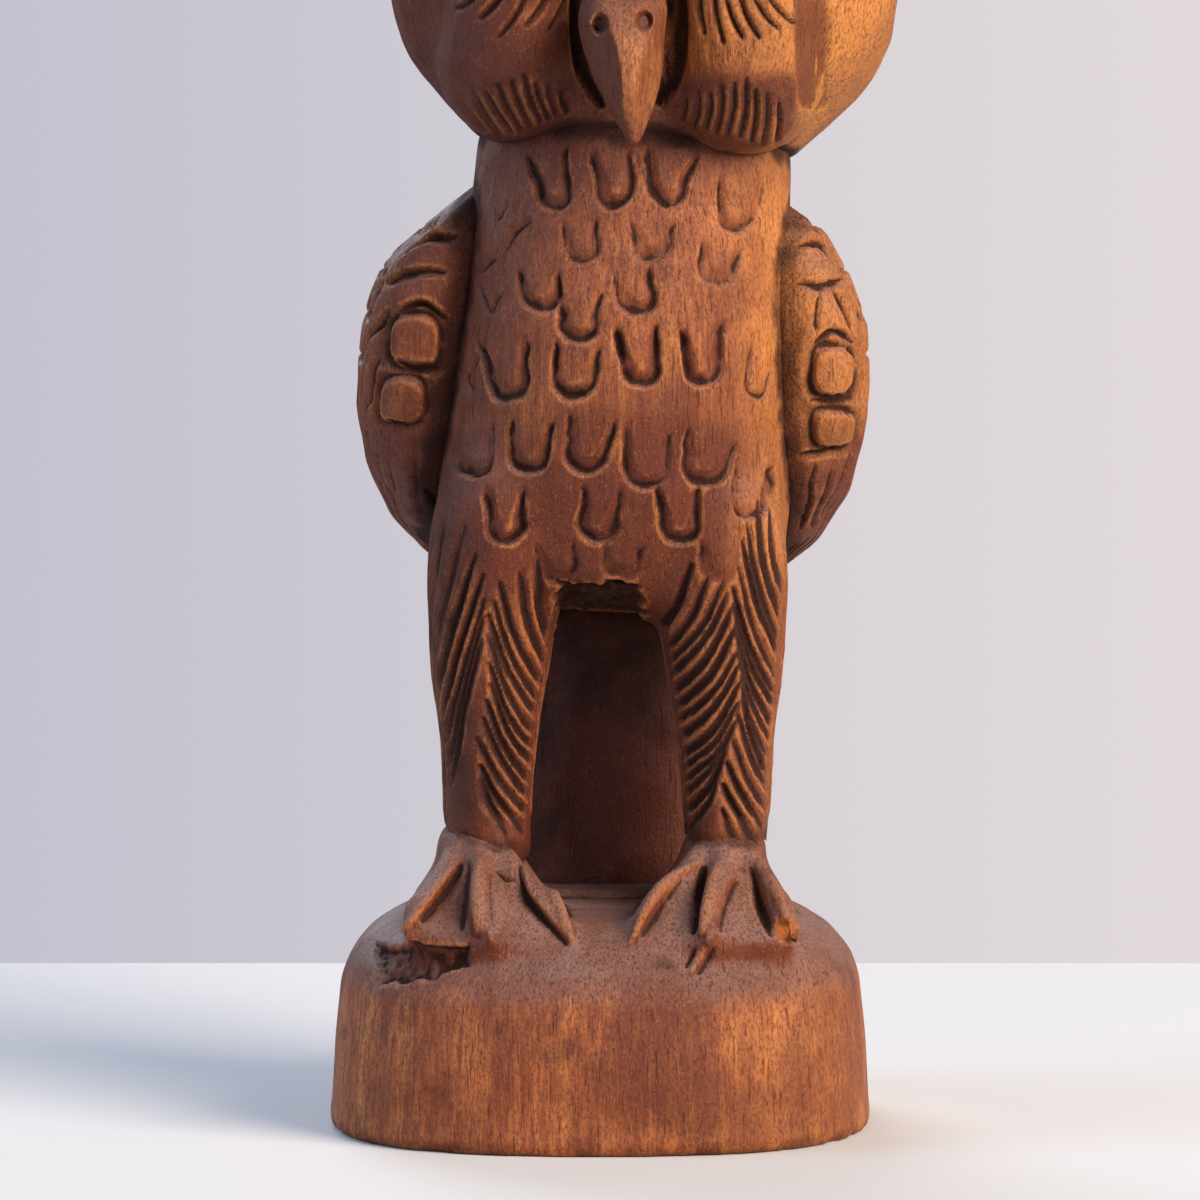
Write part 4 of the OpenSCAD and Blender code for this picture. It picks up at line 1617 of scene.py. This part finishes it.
@dataclass
class Ground:
    """Plinth and feet in one lump: ridged toes, a torn hollow under one foot, a chipped rim."""

    voxel: float = 1.25

    def build(self, bench: Bench) -> None:
        """Carves the plinth and the feet."""
        nodes = ("plinth", "left_foot", "right_foot")
        lump = rough_out("plinth_and_feet", nodes, self.voxel, {})
        x, y, z = lump.co.T
        lump.soften(12, ease(y, 8.0, 0.0) * ease(z, 34.0, 40.0) * ease(z, 60.0, 54.0) * 0.7)
        self.slim_ankles(lump)
        refine_where(lump, (lump.co[:, 2] > 27.0) & (lump.co[:, 1] < 4.0))
        lump.soften(3, ease(lump.co[:, 2], 25.0, 30.0))
        x, y, z = lump.co.T
        body = ease(z, 1.0, 6.0) * ease(z, 48.0, 44.0)
        depth = body * (0.5 * scoops(lump.co * (1, 1, 0.5), 19.0, 131) + 0.35 * wobble(lump.co, 26.0, 132))
        feet = ease(z, 40.0, 46.0) * 0.2 * scoops(lump.co, 5.0, 111)
        lump.cut(depth + feet)
        self.cut_toes(lump)
        self.tear(lump)
        lump.read_relief()
        lump.traces[Trace.RUB] *= ease(lump.co[:, 2], 0.5, 8.0)
        self.stain(lump)
        lump.co[:, 2] = np.maximum(lump.co[:, 2], 0.0)
        lump.write()
        lump.keep_traces()
        bench.hand_over(lump.piece, PLINTH_WOOD, nodes)

    def slim_ankles(self, lump: Lump) -> None:
        """Narrows the feet towards the legs, and leaves a low step in front of the tail."""
        z = lump.co[:, 2]
        for side in Side:
            middle = middle_of(f"{side.word}_leg")[0] + 0.5 * side.value
            own = lump.co[:, 0] * side.value > 0
            pinch = 0.17 * ease(z, 50.0, 59.0) * own
            lump.co[:, 0] += (middle - lump.co[:, 0]) * pinch
        step = ease(lump.co[:, 1], -1.5, 0.5) * ease(np.abs(lump.co[:, 0]), 34.0, 30.0)
        lump.co[:, 2] += 1.7 * step * ease(z, 45.5, 47.5) * ease(z, 49.5, 48.5)
        lump.settle()

    def cut_toes(self, lump: Lump) -> None:
        """Cuts the toes, as seen from in front."""
        across, up = sighted(lump.co)
        depth = lay_out(TOE_CUTS, across, up) * (lump.co[:, 1] < -14.0)
        lump.carve(depth, 0.4, 2.2, 0.85)

    def tear(self, lump: Lump) -> None:
        """Tears the rough hollow under the right foot, breaks a toe and chips the lower rim."""
        across, up = sighted(lump.co)
        z = lump.co[:, 2]
        edge = 1.2 * wobble(lump.co, 5.0, 133) + 0.7 * wobble(lump.co, 2.2, 134)
        run = across + 46.0
        half = 4.8 - 0.12 * run
        inside = half - np.abs(up - 33.6 - 0.10 * run) + edge
        ends = ease(across + edge, -49.5, -48.0) * ease(across + edge, -27.5, -29.5)
        hollow = ease(inside, 0.0, 0.8) * ends * (lump.co[:, 1] < 0)
        chips = ease(wobble(lump.co, 4.0, 135), 0.25, 0.7) * ease(z, 3.2, 0.8) * ease(z, -0.1, 0.4)
        from_tip = np.hypot(across - 41.0, (up - 40.6) * 1.1)
        broken = ease(from_tip + 0.5 * edge, 3.0, 2.0) * (lump.co[:, 1] < 0)
        lump.mark(Trace.ROUGH, np.maximum(hollow, broken))
        lump.mark(Trace.HOLLOW, hollow * 0.3)
        lump.mark(Trace.STAIN, hollow)
        lump.mark(Trace.BARE, broken * 0.85)
        grit = 0.5 * wobble(lump.co, 1.6, 136) + 0.5 * wobble(lump.co, 3.2, 137)
        lump.cut(hollow * (1.5 + grit) + broken * (0.6 + 1.5 * grit) + 0.8 * chips)

    def stain(self, lump: Lump) -> None:
        """Darkens the top and blots the sides; paints shade round tail and legs, and a painted contact
        shadow along the bottom edge.
        """
        x, y, z = lump.co.T
        cloud = wobble(lump.co, 11.0, 138)
        top = ease(z + 3.0 * cloud, 28.0, 38.0) * (1.0 - 0.5 * ease(z, 47.5, 52.0))
        lump.mark(Trace.STAIN, 0.8 * top + 0.25 * cloud)
        lump.mark(Trace.ROUGH, 0.35 * ease(z + 2.0 * cloud, 42.0, 48.0))
        # Painted shade where tail and legs meet the plinth and feet.
        gap_shade = ease(lump.gap_to("tail", "left_leg", "right_leg"), 3.0, 0.3)
        lump.mark(Trace.HOLLOW, 0.6 * gap_shade)
        blots = ease(wobble(lump.co * (1, 1, 1.6), 7.0, 139), 0.3, 0.8) * ease(z, 6.0, 16.0)
        lump.mark(Trace.HOLLOW, 0.4 * blots)
        # Painted contact shadow along the bottom edge.
        lump.mark(Trace.HOLLOW, 0.35 * ease(z + 2.0 * cloud, 4.0, 0.5))


# ---- Set -----------------------------------------------------------------------


def hang(name: str, data: bpy.types.ID, place: Sequence[float], aim: float) -> bpy.types.Object:
    """Puts a camera or a lamp in its place and turns it to the figure.

    Args:
        name: Name of the new object.
        data: The camera or the light.
        place: Where it goes, in millimetres.
        aim: Height on the figure that it faces, in millimetres.

    Returns:
        The new object.
    """
    made = bpy.data.objects.new(name, data)
    bpy.context.scene.collection.objects.link(made)
    made.location = Vector(place) * MM
    way = Vector((0.0, 0.0, aim)) * MM - made.location
    made.rotation_euler = way.to_track_quat("-Z", "Y").to_euler()
    return made


@dataclass(frozen=True)
class Lamp:
    """One square soft light that faces the figure; lengths in millimetres, power in watts."""

    name: str
    place: tuple[float, float, float]
    size: float
    power: float
    colour: Colour
    aim: float = 140.0

    def light(self) -> None:
        """Hangs the lamp."""
        data = bpy.data.lights.new(self.name, "AREA")
        data.shape = "SQUARE"
        data.size = self.size * MM
        data.energy = self.power
        data.color = self.colour
        hang(self.name, data, self.place, self.aim)


@dataclass
class Studio:
    """A pale table top, a soft warm key light, cool fill and the camera."""

    aim_height: float = 113.0
    lens: float = 138.0
    table_back: float = 275.0
    table_reach: float = 900.0
    lamps: tuple[Lamp, ...] = (
        Lamp("key_lamp", (2050.0, -1700.0, 1450.0), 1700.0, 158.0, (1.0, 0.84, 0.66)),
        Lamp("fill_lamp", (-2600.0, -500.0, 1300.0), 1600.0, 36.0, (0.58, 0.78, 1.0)),
        Lamp("back_lamp", (-900.0, 2600.0, 1900.0), 1800.0, 66.0, (0.86, 0.90, 1.0)),
    )

    def camera(self) -> None:
        """Places the camera in front, a little above the middle of the figure."""
        data = bpy.data.cameras.new("camera")
        data.lens = self.lens
        data.sensor_width = 36.0
        data.clip_start = 0.01
        place = (0.0, -EYE_AWAY, EYE_UP)
        bpy.context.scene.camera = hang("camera", data, place, self.aim_height)

    def table(self) -> None:
        """Lays the pale table top."""
        bpy.ops.object.select_all(action="DESELECT")
        bpy.ops.mesh.primitive_plane_add(size=1.0)
        made = bpy.context.active_object
        made.name = "table_top"
        for point in made.data.vertices:
            point.co.x = math.copysign(self.table_reach, point.co.x) * MM
            point.co.y = (self.table_back if point.co.y > 0 else -self.table_reach) * MM
        finish = bpy.data.materials.new("Pale table")
        finish.use_nodes = True
        shader = finish.node_tree.nodes["Principled BSDF"]
        wire = Wiring(finish.node_tree)
        wire.fill(shader, Base_Color=(0.66, 0.68, 0.72, 1.0), Roughness=0.95, Specular_IOR_Level=0.05)
        made.data.materials.append(finish)

    def build(self) -> None:
        """Sets up camera, table, lamps and the room's own pale light."""
        self.camera()
        self.table()
        for lamp in self.lamps:
            lamp.light()
        world = bpy.data.worlds.new("room")
        bpy.context.scene.world = world
        world.use_nodes = True
        tree = world.node_tree
        sky = tree.nodes["Background"]
        sky.inputs["Color"].default_value = (0.60, 0.60, 0.68, 1.0)
        sky.inputs["Strength"].default_value = 0.38
        wall = tree.nodes.new("ShaderNodeBackground")
        wire = Wiring(tree)
        way = wire.node("SeparateXYZ")
        wire.feed(wire.node("TexCoord").outputs["Generated"], way.inputs[0])
        # Painted light: the backdrop seen by the camera is darker and cooler on the left, paler and warmer
        # on the right, as the lamps fall.
        across = wire.span(way.outputs["X"], -0.16, 0.16)
        wire.feed(wire.blend(across, (0.545, 0.535, 0.62), (0.76, 0.70, 0.705)), wall.inputs["Color"])
        seen = tree.nodes.new("ShaderNodeLightPath")
        both = tree.nodes.new("ShaderNodeMixShader")
        tree.links.new(seen.outputs["Is Camera Ray"], both.inputs[0])
        tree.links.new(sky.outputs[0], both.inputs[1])
        tree.links.new(wall.outputs[0], both.inputs[2])
        tree.links.new(both.outputs[0], tree.nodes["World Output"].inputs["Surface"])
        bpy.context.scene.view_settings.view_transform = "Standard"


def main() -> None:
    """Builds the set and the owl, mass by mass."""
    logging.basicConfig(level=logging.INFO, format="%(name)s %(message)s")
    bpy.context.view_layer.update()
    Studio().build()
    bench = Bench()
    Trunk().build(bench)
    for side in Side:
        Wing(side).build(bench)
        Eye(side).build(bench)
    Head().build(bench)
    Beak().build(bench)
    Tail().build(bench)
    Ground().build(bench)


if __name__ == "__main__":
    main()
